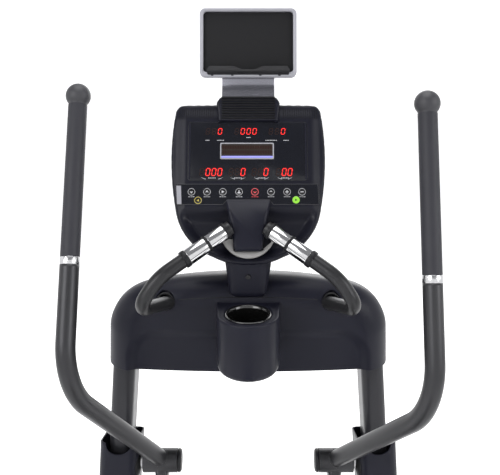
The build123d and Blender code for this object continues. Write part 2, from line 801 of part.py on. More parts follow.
# ======================================================================================
# Swing arms, drawn at mid swing and then turned to their rest angle
# ======================================================================================
arm_root = Vector(arm_foot_x, pivot_y, pivot_z)
elbow = Vector(grip_x, pivot_y - elbow_back, pivot_z + elbow_up)
grip_up = Vector(0, sin(radians(grip_slope)), cos(radians(grip_slope)))
ring_top = elbow + grip_up * (ring_along + ring_height / 2)
ball_center = elbow + grip_up * ball_along
hinge_z = pivot_z - hanger_length


def grip_cylinder(outer, inner, start, end):
    """Hollow cylinder along the grip, between two distances from the elbow corner."""
    with BuildPart() as ring:
        with BuildSketch(Plane(origin=elbow + grip_up * start, z_dir=grip_up)):
            Circle(outer / 2)
            if inner:
                Circle(inner / 2, mode=Mode.SUBTRACT)
        extrude(amount=end - start)
    return ring.part


grip_begin = ring_along + ring_height / 2
grip_finish = ball_along - 19
with BuildPart() as arm:
    with BuildLine():
        FilletPolyline(tuple(arm_root), tuple(elbow),
                       tuple(elbow + grip_up * (ring_along - ring_height / 2)), radius=arm_bend)
    with BuildSketch(Plane(origin=arm_root, z_dir=(elbow - arm_root).normalized())):
        Circle(arm_diameter / 2)
        Circle(arm_diameter / 2 - arm_wall, mode=Mode.SUBTRACT)
    sweep()
    add(grip_cylinder(core_diameter, core_diameter - 2 * arm_wall,
                      ring_along - ring_height / 2 - 12, ball_along - 10))
    add(grip_cylinder(arm_diameter - arm_wall, core_diameter - arm_wall,
                      ring_along - ring_height / 2 - 8, ring_along - ring_height / 2))
    with BuildSketch(Plane(origin=(hanger_x, pivot_y, hinge_z), x_dir=(1, 0, 0),
                           z_dir=(0, 0, 1))):
        RectangleRounded(hanger_width, hanger_depth, 8)
    extrude(amount=hanger_length)
    with BuildSketch(Plane(origin=(hanger_x, pivot_y, hinge_z), x_dir=(1, 0, 0),
                           z_dir=(0, 0, 1))):
        RectangleRounded(hanger_width - 2 * arm_wall, hanger_depth - 2 * arm_wall, 5)
    extrude(amount=hanger_length, mode=Mode.SUBTRACT)
    with BuildSketch(across(sleeve_inner, pivot_y, pivot_z)):
        Circle(sleeve_diameter / 2)
    extrude(amount=sleeve_outer - sleeve_inner)
    with BuildSketch(across(hanger_x, pivot_y, hinge_z)):
        Circle(boss_diameter / 2)
    extrude(amount=boss_width / 2, both=True)
    with BuildSketch(across(hanger_x, pivot_y, hinge_z)):
        Circle(lower_bush_diameter / 2)
    extrude(amount=boss_width, both=True, mode=Mode.SUBTRACT)
    with BuildSketch(across(sleeve_inner, pivot_y, pivot_z)):
        Circle(sleeve_bore / 2)
    extrude(amount=sleeve_outer - sleeve_inner, mode=Mode.SUBTRACT)

with BuildPart() as arm_bushes:
    for x in (sleeve_inner, sleeve_outer - bush_width):
        with BuildSketch(across(x, pivot_y, pivot_z)):
            Circle(sleeve_bore / 2)
            Circle(shaft_diameter / 2 + hug, mode=Mode.SUBTRACT)
        extrude(amount=bush_width)
    with BuildSketch(across(hanger_x, pivot_y, hinge_z)):
        Circle(lower_bush_diameter / 2)
        Circle(hinge_pin_diameter / 2 + hug, mode=Mode.SUBTRACT)
    extrude(amount=boss_width / 2, both=True)

with BuildPart() as arm_grip:
    add(grip_cylinder(arm_diameter, core_diameter, grip_begin, grip_finish))

with BuildPart() as grip_ring_band:
    add(grip_cylinder(arm_diameter + 0.8, core_diameter, ring_along - ring_height / 2,
                      grip_begin))

with BuildPart() as grip_cap:
    with Locations(Plane(origin=ball_center, z_dir=grip_up)):
        Sphere(ball_diameter / 2)
    with BuildSketch(Plane(origin=elbow + grip_up * (grip_finish - 60), z_dir=grip_up)):
        Circle(ball_diameter)
    extrude(amount=60, mode=Mode.SUBTRACT)
    add(grip_cylinder(core_diameter, 0, grip_finish - 10, ball_along - 10), mode=Mode.SUBTRACT)

for piece, name in ((arm, "arm"), (arm_bushes, "arm_bushes"), (arm_grip, "grip"),
                    (grip_ring_band, "grip_ring"), (grip_cap, "grip_cap")):
    save(piece.part.rotate(pivot_axis, rest_swing), f"right_{name}")
    left = mirror(piece.part, about=Plane.YZ)
    save(left.rotate(pivot_axis, -rest_swing), f"left_{name}")

# ======================================================================================
# Pedal arms, drawn level with the lower hinge at the origin and then set at rest
# ======================================================================================
tube_rear = -pedal_arm_length + hub_diameter / 2 - 4
hub_outer = hanger_x + pedal_tube_width / 2
with BuildPart() as pedal_arm:
    with BuildSketch(Plane(origin=(hanger_x, -fork_reach, 0), x_dir=(1, 0, 0),
                           z_dir=(0, -1, 0))):
        RectangleRounded(pedal_tube_width, pedal_tube_height, 8)
    extrude(amount=-fork_reach - tube_rear)
    with BuildSketch(Plane(origin=(hanger_x, -fork_reach - steel_wall, 0), x_dir=(1, 0, 0),
                           z_dir=(0, -1, 0))):
        RectangleRounded(pedal_tube_width - 2 * steel_wall, pedal_tube_height - 2 * steel_wall,
                         5)
    extrude(amount=-fork_reach - tube_rear - steel_wall, mode=Mode.SUBTRACT)
    for side in (-1, 1):
        cheek_x = hanger_x + side * (boss_width / 2 + fit + fork_plate / 2)
        with BuildSketch(across(cheek_x, 0, 0)):
            Circle(boss_diameter / 2)
            with Locations((-fork_reach / 2 - 3, 0)):
                Rectangle(fork_reach + 6, boss_diameter)
        extrude(amount=fork_plate / 2, both=True)
    with BuildSketch(across(hanger_x, 0, 0)):
        Circle(hinge_pin_diameter / 2)
    extrude(amount=boss_width, both=True, mode=Mode.SUBTRACT)
    with BuildSketch(across(hub_inner, -pedal_arm_length, 0)):
        Circle(hub_diameter / 2)
    extrude(amount=hub_outer - hub_inner)
    with BuildSketch(across(crank_inner + crank_thick + pin_gap, -pedal_arm_length, 0)):
        Circle(crank_pin_diameter / 2)
    extrude(amount=hub_outer - hub_inner)
    for y in (-pedal_along - 110, -pedal_along + 110):
        with Locations((pedal_x + 15, y, pedal_seat - 7)):
            Box(pedal_width - 40, 44, 14)

with BuildPart() as hinge_pin:
    with BuildSketch(across(hanger_x, 0, 0)):
        Circle(hinge_pin_diameter / 2)
    extrude(amount=boss_width / 2 + fit + fork_plate + 2, both=True)
    for side in (-1, 1):
        head_x = hanger_x + side * (boss_width / 2 + fit + fork_plate)
        with BuildSketch(across(head_x, 0, 0)):
            Circle(hinge_pin_diameter / 2 + 5)
        extrude(amount=side * 5)

with BuildPart() as pedal:
    pedal_floor = Plane(origin=(pedal_x, -pedal_along, pedal_seat))
    with BuildSketch(pedal_floor):
        RectangleRounded(pedal_width, pedal_length, 40)
    extrude(amount=pedal_rim)
    with BuildSketch(pedal_floor.offset(pedal_plate)):
        RectangleRounded(pedal_width - 12, pedal_length - 12, 34)
    extrude(amount=pedal_rim, mode=Mode.SUBTRACT)

for piece, name in ((pedal_arm, "pedal_arm"), (hinge_pin, "hinge_pin"), (pedal, "pedal")):
    for side, tilt in ((1, pedal_tilt_right), (-1, pedal_tilt_left)):
        shape = piece.part if side > 0 else mirror(piece.part, about=Plane.YZ)
        shape = shape.rotate(Axis((0, 0, 0), (1, 0, 0)), -tilt)
        place = (0, pivot_y + side * lower_shift, lower_up)
        save(shape.translate(place), f"{'right' if side > 0 else 'left'}_{name}")

# ======================================================================================
# Crankset
# ======================================================================================
with BuildPart() as crank_axle:
    with BuildSketch(across(0, crank_y, crank_z)):
        Circle(axle_diameter / 2)
    extrude(amount=crank_inner + crank_thick, both=True)
save(crank_axle.part, "crank_axle")

for side in (1, -1):
    name = "right_crank" if side > 0 else "left_crank"
    pin_spot = (crank_y + side * pin_shift, crank_z + side * pin_lift)
    with BuildPart() as crank:
        with BuildSketch(across(side * (crank_inner + crank_thick / 2), 0, 0)):
            with Locations((crank_y, crank_z)):
                Circle(crank_hub_radius)
            with Locations(pin_spot):
                Circle(crank_tip_radius)
            make_hull()
            with Locations((crank_y, crank_z)):
                Circle(axle_diameter / 2, mode=Mode.SUBTRACT)
            with Locations(pin_spot):
                Circle(crank_pin_diameter / 2 + hug, mode=Mode.SUBTRACT)
        extrude(amount=crank_thick / 2, both=True)
    save(crank.part, name)

with BuildPart() as drive_pulley:
    with BuildSketch(across(pulley_x, crank_y, crank_z)):
        Circle(pulley_radius)
        Circle(axle_diameter / 2, mode=Mode.SUBTRACT)
        with PolarLocations(pulley_radius * 0.58, 6):
            Circle(pulley_radius * 0.2, mode=Mode.SUBTRACT)
    extrude(amount=pulley_width / 2, both=True)
    with BuildSketch(across(pulley_x, crank_y, crank_z)):
        Circle(axle_diameter / 2 + 12)
        Circle(axle_diameter / 2, mode=Mode.SUBTRACT)
    extrude(amount=pulley_width / 2 + 5, both=True)
save(drive_pulley.part, "drive_pulley")


def belt_outline(gap):
    """Taut loop round both pulleys, this far off their rims."""
    with BuildSketch() as loop:
        with Locations((crank_y, crank_z)):
            Circle(pulley_radius + gap)
        with Locations((flywheel_y, flywheel_z)):
            Circle(small_pulley_radius + gap)
        make_hull()
    return loop.sketch


with BuildPart() as drive_belt:
    with BuildSketch(across(pulley_x, 0, 0)):
        add(belt_outline(fit + belt_thick))
        add(belt_outline(fit), mode=Mode.SUBTRACT)
    extrude(amount=pulley_width / 2 - 2, both=True)
save(drive_belt.part, "drive_belt")

# ======================================================================================
# Flywheel, brake and drive frame
# ======================================================================================
with BuildPart() as flywheel:
    with BuildSketch(across(flywheel_x, flywheel_y, flywheel_z)):
        Circle(flywheel_radius)
    extrude(amount=flywheel_width / 2, both=True)
    for side in (-1, 1):
        with BuildSketch(across(flywheel_x + side * flywheel_width / 2, flywheel_y, flywheel_z)):
            Circle(flywheel_radius - 26)
            Circle(38, mode=Mode.SUBTRACT)
        extrude(amount=-side * (flywheel_width / 2 - 5), mode=Mode.SUBTRACT)
    with BuildSketch(across(flywheel_x, flywheel_y, flywheel_z)):
        Circle(small_pulley_radius)
    extrude(amount=pulley_x + pulley_width / 2 - flywheel_x)
    with BuildSketch(across(0, flywheel_y, flywheel_z)):
        Circle(flywheel_axle_diameter / 2 + hug)
    extrude(amount=2 * plate_x, both=True, mode=Mode.SUBTRACT)
save(flywheel.part, "flywheel")

with BuildPart() as flywheel_axle:
    with BuildSketch(across(0, flywheel_y, flywheel_z)):
        Circle(flywheel_axle_diameter / 2)
    extrude(amount=plate_x + 14, both=True)
save(flywheel_axle.part, "flywheel_axle")

yoke_pin = (flywheel_y + yoke_hinge_radius * cos(radians(yoke_angle)),
            flywheel_z + yoke_hinge_radius * sin(radians(yoke_angle)))
yoke_half = flywheel_width / 2 + yoke_side_gap + yoke_plate_thick
yoke_root = (yoke_inner + yoke_outer) / 2
with BuildPart() as brake_yoke:
    with BuildSketch(across(flywheel_x, flywheel_y, flywheel_z)):
        with BuildLine():
            outer_arc = CenterArc((0, 0), yoke_outer, yoke_angle + 8, yoke_span)
            inner_arc = CenterArc((0, 0), yoke_inner - yoke_plate_depth, yoke_angle + 8,
                                  yoke_span)
            Line(outer_arc @ 0, inner_arc @ 0)
            Line(outer_arc @ 1, inner_arc @ 1)
        make_face()
    extrude(amount=yoke_half, both=True)
    with BuildSketch(across(flywheel_x, flywheel_y, flywheel_z)):
        Circle(yoke_inner)
    extrude(amount=yoke_half - yoke_plate_thick, both=True, mode=Mode.SUBTRACT)
    with BuildSketch(across(flywheel_x, 0, 0)):
        with Locations(yoke_pin):
            Circle(12)
        with Locations((flywheel_y + yoke_root * cos(radians(yoke_angle + 11)),
                        flywheel_z + yoke_root * sin(radians(yoke_angle + 11)))):
            Circle(4)
        make_hull()
    extrude(amount=yoke_half, both=True)
    with BuildSketch(across(flywheel_x, 0, 0)):
        with Locations(yoke_pin):
            Circle(5 + hug)
    extrude(amount=2 * yoke_half, both=True, mode=Mode.SUBTRACT)
    with BuildSketch(across(flywheel_x, flywheel_y, flywheel_z)):
        Circle(yoke_inner)
    extrude(amount=yoke_half - yoke_plate_thick, both=True, mode=Mode.SUBTRACT)
save(brake_yoke.part, "brake_yoke")

spine_top = spine_bottom + spine_height
with BuildPart() as drive_frame:
    with Locations((0, (crank_y + flywheel_y) / 2, spine_top)):
        Box(2 * plate_x + plate_thick, floor_plate_length, floor_plate_thick,
            align=(Align.CENTER, Align.CENTER, Align.MIN))
    for side in (-1, 1):
        with BuildSketch(across(side * plate_x, 0, 0)):
            with Locations((crank_y, crank_z)):
                Circle(bearing_diameter / 2 + 8)
            with Locations((flywheel_y, flywheel_z)):
                Circle(26)
            with Locations(((crank_y + flywheel_y) / 2, spine_top + floor_plate_thick + 4)):
                Rectangle(side_plate_foot, 14)
            make_hull()
            with Locations(((crank_y + flywheel_y) / 2 + 10, crank_z - 130)):
                Circle(44, mode=Mode.SUBTRACT)
        extrude(amount=plate_thick / 2, both=True)
        with BuildSketch(across(side * (plate_x - plate_thick / 2), crank_y, crank_z)):
            Circle(bearing_diameter / 2 + 6)
        extrude(amount=side * bearing_width)
        with BuildSketch(across(side * (plate_x - plate_thick / 2), crank_y, crank_z)):
            Circle(bearing_diameter / 2)
        extrude(amount=side * bearing_width, mode=Mode.SUBTRACT)
        with BuildSketch(across(side * plate_x, flywheel_y, flywheel_z)):
            Circle(flywheel_axle_diameter / 2)
        extrude(amount=plate_thick, both=True, mode=Mode.SUBTRACT)
    with BuildSketch(across(-plate_x, 0, 0)):
        with Locations(yoke_pin):
            Circle(5)
    extrude(amount=plate_x + flywheel_x + yoke_half + 6)
save(drive_frame.part, "drive_frame")

with BuildPart() as crank_bearings:
    for side in (-1, 1):
        with BuildSketch(across(side * (plate_x - plate_thick / 2), crank_y, crank_z)):
            Circle(bearing_diameter / 2)
            Circle(axle_diameter / 2 + hug, mode=Mode.SUBTRACT)
        extrude(amount=side * bearing_width)
save(crank_bearings.part, "crank_bearings")

with BuildPart() as resistance_motor:
    with Locations((-plate_x - plate_thick / 2 - 19, crank_y - 60, crank_z - 110)):
        Box(38, 62, 50)
    fillet(resistance_motor.edges().filter_by(Axis.X), 6)
save(resistance_motor.part, "resistance_motor")

# ---- drive covers ---------------------------------------------------------------------
def cover_outline(inset):
    """Side view of the drive housing: a big round over the crank and a smaller tail."""
    with BuildSketch() as outline:
        with Locations((crank_y, crank_z)):
            Circle(cover_round_front - inset)
        with Locations((cover_tail_y, cover_tail_z)):
            Circle(cover_tail_round - inset)
        with Locations(((crank_y + cover_tail_y) / 2 - 10, cover_bottom + inset + 20)):
            Rectangle(500 - 2 * inset, 40)
        make_hull()
    return outline.sketch


with BuildPart() as drive_cover:
    with BuildSketch(Plane.YZ):
        add(cover_outline(0))
    extrude(amount=cover_half)
    fillet(drive_cover.faces().sort_by(Axis.X)[-1].edges(), cover_edge_round)
    with BuildSketch(Plane.YZ):
        add(cover_outline(cover_wall))
    extrude(amount=cover_half - cover_edge_round - cover_wall, mode=Mode.SUBTRACT)
    with BuildSketch(Plane.YZ):
        add(cover_outline(cover_edge_round))
    extrude(amount=cover_half - cover_wall, mode=Mode.SUBTRACT)
    with BuildSketch(across(0, crank_y, crank_z)):
        Circle(axle_diameter / 2 + 8)
    extrude(amount=cover_half, mode=Mode.SUBTRACT)
    with Locations((0, (crank_y + flywheel_y) / 2, cover_bottom)):
        Box(2 * plate_x + plate_thick + 2 * fit, 400, 4 * cover_wall, mode=Mode.SUBTRACT)
save_pair(drive_cover.part, "drive_cover")

# ======================================================================================
# Bolts and screws
# ======================================================================================
with BuildPart() as fasteners:
    for side in (-1, 1):
        with BuildSketch(across(side * shoe_x, wheel_y, wheel_z)):
            Circle(wheel_bolt_diameter / 2)
        extrude(amount=wheel_width / 2 + fit + fork_plate, both=True)
        for end in (-1, 1):
            head_x = side * shoe_x + end * (wheel_width / 2 + fit + fork_plate)
            with BuildSketch(across(head_x, wheel_y, wheel_z)):
                RegularPolygon(8.5, 6)
            extrude(amount=end * 6)
    screw_y = shroud_front - 4.2    # against the sloping front of the mast cover
    with BuildSketch(Plane(origin=(0, screw_y, seam_height + mast_screw_lift),
                           x_dir=(1, 0, 0), z_dir=(0, -1, 0))):
        Circle(mast_screw_diameter / 2)
    extrude(amount=2)
save(fasteners.part, "fasteners")
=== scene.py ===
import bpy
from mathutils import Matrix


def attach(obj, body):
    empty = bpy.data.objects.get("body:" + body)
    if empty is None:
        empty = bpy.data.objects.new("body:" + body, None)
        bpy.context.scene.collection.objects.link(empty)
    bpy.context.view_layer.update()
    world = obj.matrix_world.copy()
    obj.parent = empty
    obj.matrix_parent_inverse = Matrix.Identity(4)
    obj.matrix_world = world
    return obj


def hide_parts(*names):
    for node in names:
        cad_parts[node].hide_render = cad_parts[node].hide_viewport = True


bl_info = {
    "name": "Elliptical Trainer",
    "version": (1, 0, 0),
    "blender": (4, 5, 0),
    "location": "View3D > Sidebar > Trainer",
    "description": "Shells, grips, console and finishes of a rear-drive elliptical trainer",
    "category": "Object",
}

import bmesh
import bpy
import numpy as np
from math import asin, atan2, cos, hypot, pi, radians, sin
from bpy.props import FloatProperty, FloatVectorProperty, IntProperty, PointerProperty
from bpy.types import Operator, Panel, PropertyGroup
from mathutils import Vector

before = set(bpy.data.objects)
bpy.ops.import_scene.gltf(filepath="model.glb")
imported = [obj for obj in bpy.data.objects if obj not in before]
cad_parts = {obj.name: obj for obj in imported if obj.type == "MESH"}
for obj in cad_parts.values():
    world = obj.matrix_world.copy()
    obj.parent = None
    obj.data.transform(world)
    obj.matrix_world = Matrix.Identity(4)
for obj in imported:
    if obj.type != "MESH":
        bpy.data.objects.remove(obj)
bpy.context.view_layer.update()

MM = 0.001
SIDES = (("left", -1), ("right", 1))
ROUND = 48                      # points round a tube
CONSOLE_TILT = radians(24.5)
CONSOLE_CENTER = np.array([0.0, 605.0, 1438.8]) * MM
RACK_TILT = radians(15.0)
RACK_FOOT = np.array([0.0, 690.0, 1648.6]) * MM
REST_SWING = radians(2.8)


# ---- sizes and colours that a user would change ----------------------------------------
def colour(name, about, value):
    return FloatVectorProperty(name=name, description=about, default=value, size=3,
                               subtype="COLOR", min=0.0, max=1.0)


def length(name, about, value):
    return FloatProperty(name=name, description=about, default=value * MM, unit="LENGTH")


class TrainerSizes(PropertyGroup):
    grip_diameter: length("Grip", "Diameter of the swinging hand grips", 38.0)
    ball_diameter: length("Grip end", "Diameter of the rounded grip ends", 50.0)
    bar_diameter: length("Fixed bar", "Diameter of the fixed handlebars", 28.6)
    cup_radius: length("Cup well", "Inner radius of the cup holder", 39.5)
    recess: length("Shroud recess", "Depth of the hollow in the shroud's face", 10.0)
    tread_count: IntProperty(name="Tread ribs", description="Ribs on each pedal", default=17)
    rib_count: IntProperty(name="Ribs", description="Ribs on the console's vent", default=9)


class TrainerColours(PropertyGroup):
    shell: colour("Shell", "Moulded plastic of console and shroud", (0.0095, 0.0098, 0.0170))
    paint: colour("Frame paint", "Powder coat of tubes", (0.024, 0.024, 0.028))
    grip: colour("Grip rubber", "Rubber of the hand grips", (0.028, 0.028, 0.034))
    silver: colour("Silver", "Silver plastic of the rack frame", (0.29, 0.29, 0.32))
    lit: colour("Digits", "Lit display segments", (0.95, 0.018, 0.012))


# ---- shapes worked out as arrays -------------------------------------------------------
def unit(vectors):
    """Each vector divided by its own length."""
    vectors = np.asarray(vectors, float)
    return vectors / np.linalg.norm(vectors, axis=-1, keepdims=True)


def smooth(t):
    """Ease from 0 to 1: 3t^2 - 2t^3 on t held between 0 and 1."""
    t = np.clip(t, 0.0, 1.0)
    return t * t * (3 - 2 * t)


def arc3(a, b, c, count):
    """Points on the circle through a, b and c, from a to c."""
    a, b, c = (np.asarray(p, float) for p in (a, b, c))
    d = 2 * (a[0] * (b[1] - c[1]) + b[0] * (c[1] - a[1]) + c[0] * (a[1] - b[1]))
    sq = np.array([a @ a, b @ b, c @ c])
    center = np.array([sq @ [b[1] - c[1], c[1] - a[1], a[1] - b[1]],
                       sq @ [c[0] - b[0], a[0] - c[0], b[0] - a[0]]]) / d
    turn = [np.arctan2(*(p - center)[::-1]) for p in (a, b, c)]
    turn = np.unwrap(turn)
    radius = np.linalg.norm(a - center)
    t = np.linspace(turn[0], turn[2], count)
    return center + radius * np.stack([np.cos(t), np.sin(t)], -1)


def evenly(points, count, closed=False):
    """The polyline through points, resampled at equal steps of its length."""
    if closed:
        points = np.vstack([points, points[:1]])
    keep = np.r_[True, np.linalg.norm(np.diff(points, axis=0), axis=1) > 1e-9]
    points = points[keep]
    run = np.r_[0, np.cumsum(np.linalg.norm(np.diff(points, axis=0), axis=1))]
    at = np.linspace(0, run[-1], count, endpoint=not closed)
    return np.stack([np.interp(at, run, points[:, k]) for k in range(points.shape[1])], -1)


def rounded_path(corners, radii, step=12):
    """Straight runs joined by tangent arcs, one radius for each inner corner."""
    corners = [np.asarray(c, float) for c in corners]
    points = [corners[0]]
    for k, radius in enumerate(radii, 1):
        into, out = unit(corners[k] - corners[k - 1]), unit(corners[k + 1] - corners[k])
        turn = np.arccos(np.clip(into @ out, -1, 1))
        reach = radius * np.tan(turn / 2)
        start = corners[k] - into * reach
        side = unit(out - into * (into @ out))
        t = np.linspace(0, turn, step)[:, None]
        points.extend(start + radius * (np.sin(t) * into + (1 - np.cos(t)) * side))
    points.append(corners[-1])
    return np.array(points)


def circle(radius, count=ROUND):
    """Points round a circle in the plane of a section."""
    t = np.arange(count) * 2 * pi / count
    return radius * np.stack([np.cos(t), np.sin(t)], -1)


def rounded_rect(width, height, radius, step=7):
    """Outline of a rectangle with round corners, each a quarter circle."""
    t = np.linspace(0, pi / 2, step)
    quarter = radius * np.stack([np.cos(t), np.sin(t)], -1)
    half = np.array([width / 2 - radius, height / 2 - radius])
    turns = [(1, 1, 0), (-1, 1, 1), (-1, -1, 2), (1, -1, 3)]
    rows = []
    for sx, sy, k in turns:
        c, s = cos(k * pi / 2), sin(k * pi / 2)
        rows.append(quarter @ np.array([[c, s], [-s, c]]) + half * (sx, sy))
    return np.vstack(rows)


def even_rect(width, height, radius, count, step=7):
    """A rounded rectangle at equal steps round its outline."""
    return evenly(rounded_rect(width, height, radius, step), count, closed=True)


def rim_gap(points, rim):
    """Distance from each point to the nearest point of a dense rim."""
    return np.sqrt(((points[..., None, :] - rim) ** 2).sum(-1).min(-1))


def mesh_piece(name, points, faces, smooth_shade=True, merge=1e-6):
    """A mesh object in world metres from points and faces, its faces turned outwards."""
    mesh = bpy.data.meshes.new(name)
    mesh.from_pydata(np.asarray(points).reshape(-1, 3).tolist(), [], faces)
    work = bmesh.new()
    work.from_mesh(mesh)
    bmesh.ops.remove_doubles(work, verts=work.verts, dist=merge)
    bmesh.ops.recalc_face_normals(work, faces=work.faces)
    work.to_mesh(mesh)
    work.free()
    mesh.polygons.foreach_set("use_smooth", np.full(len(mesh.polygons), smooth_shade))
    mesh.update()
    piece = bpy.data.objects.new(name, mesh)
    bpy.context.scene.collection.objects.link(piece)
    return piece


def grid_faces(rows, cols, wrap_rows=False, wrap_cols=False, base=0):
    """Quads between neighbouring rows and columns of a grid of points."""
    r = np.arange(rows if wrap_rows else rows - 1)[:, None]
    c = np.arange(cols if wrap_cols else cols - 1)[None, :]
    r2, c2 = (r + 1) % rows, (c + 1) % cols
    quads = np.stack([r * cols + c, r * cols + c2, r2 * cols + c2, r2 * cols + c], -1)
    return (quads.reshape(-1, 4) + base).tolist()


def grid_piece(name, grid, wrap_rows=False, wrap_cols=False, cap_ends=False, flip=False):
    """A surface over a (rows, cols, 3) grid of points, with flat ends where asked."""
    rows, cols = grid.shape[:2]
    faces = grid_faces(rows, cols, wrap_rows, wrap_cols)
    if cap_ends:
        faces.append(list(range(cols))[::-1])
        faces.append([(rows - 1) * cols + k for k in range(cols)])
    if flip:
        faces = [face[::-1] for face in faces]
    return mesh_piece(name, grid, faces)


def carried(path, section, up=(0, 0, 1), scale=None):
    """A section carried along a path: each ring is path + x*side + y*top, where side is
    square to the path and to up, and top is square to both."""
    path = np.asarray(path, float)
    tangent = unit(np.gradient(path, axis=0))
    side = unit(np.cross(tangent, np.asarray(up, float)))
    top = np.cross(side, tangent)
    scale = np.ones(len(path)) if scale is None else np.asarray(scale)
    flat = section[None] * scale[:, None, None]
    return path[:, None] + flat[..., :1] * side[:, None] + flat[..., 1:] * top[:, None]


def tube_piece(name, path, section, up=(0, 0, 1), scale=None):
    """A closed bar: a section carried along a path, with both ends closed."""
    return grid_piece(name, carried(path, section, up, scale), wrap_cols=True, cap_ends=True,
                      flip=True)


def turned(name, profile, origin, axis, count=ROUND):
    """A lathe shape: profile rows are (radius, distance along axis) from origin."""
    profile = np.asarray(profile, float) * MM
    axis = unit(axis)
    helper = np.array([0, 0, 1.0]) if abs(axis[2]) < 0.9 else np.array([0, 1.0, 0])
    u = unit(np.cross(helper, axis))
    v = np.cross(axis, u)
    t = np.arange(count) * 2 * pi / count
    ring = np.cos(t)[:, None] * u + np.sin(t)[:, None] * v
    grid = origin + profile[:, :1, None] * ring[None] + profile[:, 1:, None] * axis
    return grid_piece(name, grid, wrap_cols=True)


def soft_corners(profile, radius, step=4):
    """A profile polyline with each inner corner rounded by an arc."""
    profile = [np.asarray(p, float) for p in profile]
    radii = []
    for k in range(1, len(profile) - 1):
        into, out = profile[k] - profile[k - 1], profile[k + 1] - profile[k]
        turn = np.arccos(np.clip(unit(into) @ unit(out), -1, 1))
        room = 0.48 * min(np.linalg.norm(into), np.linalg.norm(out))
        radii.append(min(radius, room / max(np.tan(turn / 2), 1e-6)))
    return rounded_path(profile, radii, step)


def on_slope(center, tilt, x, up, out):
    """Millimetres across, up a tilted face and out of it, to world metres."""
    x, up, out = np.broadcast_arrays(*(np.asarray(a, float) * MM for a in (x, up, out)))
    y = center[1] + up * sin(tilt) - out * cos(tilt)
    z = center[2] + up * cos(tilt) + out * sin(tilt)
    return np.stack([x, y, z], -1)


def on_console(x, up, out):
    """A place on the console, from the middle of its face."""
    return on_slope(CONSOLE_CENTER, CONSOLE_TILT, x, up, out)


def on_rack(x, up, out):
    """A place on the rack, from the middle of its foot."""
    return on_slope(RACK_FOOT, RACK_TILT, x, up, out)


def stacked(x, y, z):
    """World metres from millimetres that are numbers or arrays."""
    return np.stack(np.broadcast_arrays(x, y, z), -1) * MM


def slab(name, outline, low, high, place, edge):
    """A plate between two heights, with its upper rim rounded: rings of the outline, drawn
    in towards its middle by edge*(1-cos t), rise by edge*sin t."""
    outline = np.asarray(outline, float)
    middle = outline.mean(0)
    inward = outline - middle
    reach = np.linalg.norm(inward, axis=1, keepdims=True)
    top = [(edge * (1 - cos(a)), high - edge + edge * sin(a))
           for a in np.linspace(0, pi / 2, 5)]
    rings = [(0.0, low)] + top
    rows = [place(*(middle + inward * (1 - inset / reach)).T, height)
            for inset, height in rings]
    return grid_piece(name, np.stack(rows), wrap_cols=True, cap_ends=True)


def decals(name, shapes, place, height, thick=0.15):
    """Thin printed marks: every outline becomes a flat plate a hair thick."""
    points, faces = [], []
    for outline in shapes:
        outline = np.asarray(outline, float)
        count, base = len(outline), sum(len(p) for p in points)
        low = place(outline[:, 0], outline[:, 1], height)
        high = place(outline[:, 0], outline[:, 1], height + thick)
        points.append(np.vstack([low, high]))
        faces += grid_faces(2, count, wrap_cols=True, base=base)
        faces += [[base + k for k in range(count)][::-1],
                  [base + count + k for k in range(count)]]
    return mesh_piece(name, np.vstack(points), faces, smooth_shade=False)


def modifier(piece, kind, **values):
    """Adds a modifier and sets its values."""
    added = piece.modifiers.new(kind.title(), kind)
    for key, value in values.items():
        setattr(added, key, value)


def bevel(piece, width, segments, degrees):
    """Rounds the edges that turn by more than an angle, by a width in millimetres."""
    modifier(piece, "BEVEL", width=width * MM, segments=segments, limit_method="ANGLE",
             angle_limit=radians(degrees))


# ---- materials -------------------------------------------------------------------------
def shader(name, base, rough, metal=0.0, **sockets):
    """A new material with its main sockets set."""
    made = bpy.data.materials.new(name)
    made.use_nodes = True
    bsdf = made.node_tree.nodes["Principled BSDF"]
    bsdf.inputs["Base Color"].default_value = (*base, 1)
    bsdf.inputs["Roughness"].default_value = rough
    bsdf.inputs["Metallic"].default_value = metal
    for key, value in sockets.items():
        bsdf.inputs[key.replace("_", " ")].default_value = value
    return made, bsdf


def add_node(made, kind, values=None, **settings):
    """A node with settings as attributes and values as default inputs."""
    node = made.node_tree.nodes.new(kind)
    for key, value in settings.items():
        setattr(node, key, value)
    for key, value in (values or {}).items():
        node.inputs[key].default_value = value
    return node


def coords(made, scale=(1, 1, 1)):
    """Object coordinates through a Mapping node."""
    source = add_node(made, "ShaderNodeTexCoord")
    mapping = add_node(made, "ShaderNodeMapping", {"Scale": scale})
    made.node_tree.links.new(source.outputs["Object"], mapping.inputs["Vector"])
    return mapping.outputs["Vector"]


def noise(made, where, scale, detail=4.0, rough=0.55):
    node = add_node(made, "ShaderNodeTexNoise",
                    {"Scale": scale, "Detail": detail, "Roughness": rough})
    made.node_tree.links.new(where, node.inputs["Vector"])
    return node.outputs["Fac"]


def ranged(made, value, low, high):
    """Maps a 0 to 1 value to the range low to high."""
    node = add_node(made, "ShaderNodeMapRange", {"To Min": low, "To Max": high})
    made.node_tree.links.new(value, node.inputs["Value"])
    return node.outputs["Result"]


def tinted(made, bsdf, value, dark, light):
    """Blends the base colour between two shades by a pattern."""
    mix = add_node(made, "ShaderNodeMix", data_type="RGBA")
    mix.inputs["A"].default_value = (*dark, 1)
    mix.inputs["B"].default_value = (*light, 1)
    made.node_tree.links.new(value, mix.inputs["Factor"])
    made.node_tree.links.new(mix.outputs["Result"], bsdf.inputs["Base Color"])


def bumped(made, bsdf, value, strength, depth):
    """Adds a bump of this depth in metres."""
    bump = add_node(made, "ShaderNodeBump", {"Strength": strength, "Distance": depth})
    made.node_tree.links.new(value, bump.inputs["Height"])
    made.node_tree.links.new(bump.outputs["Normal"], bsdf.inputs["Normal"])


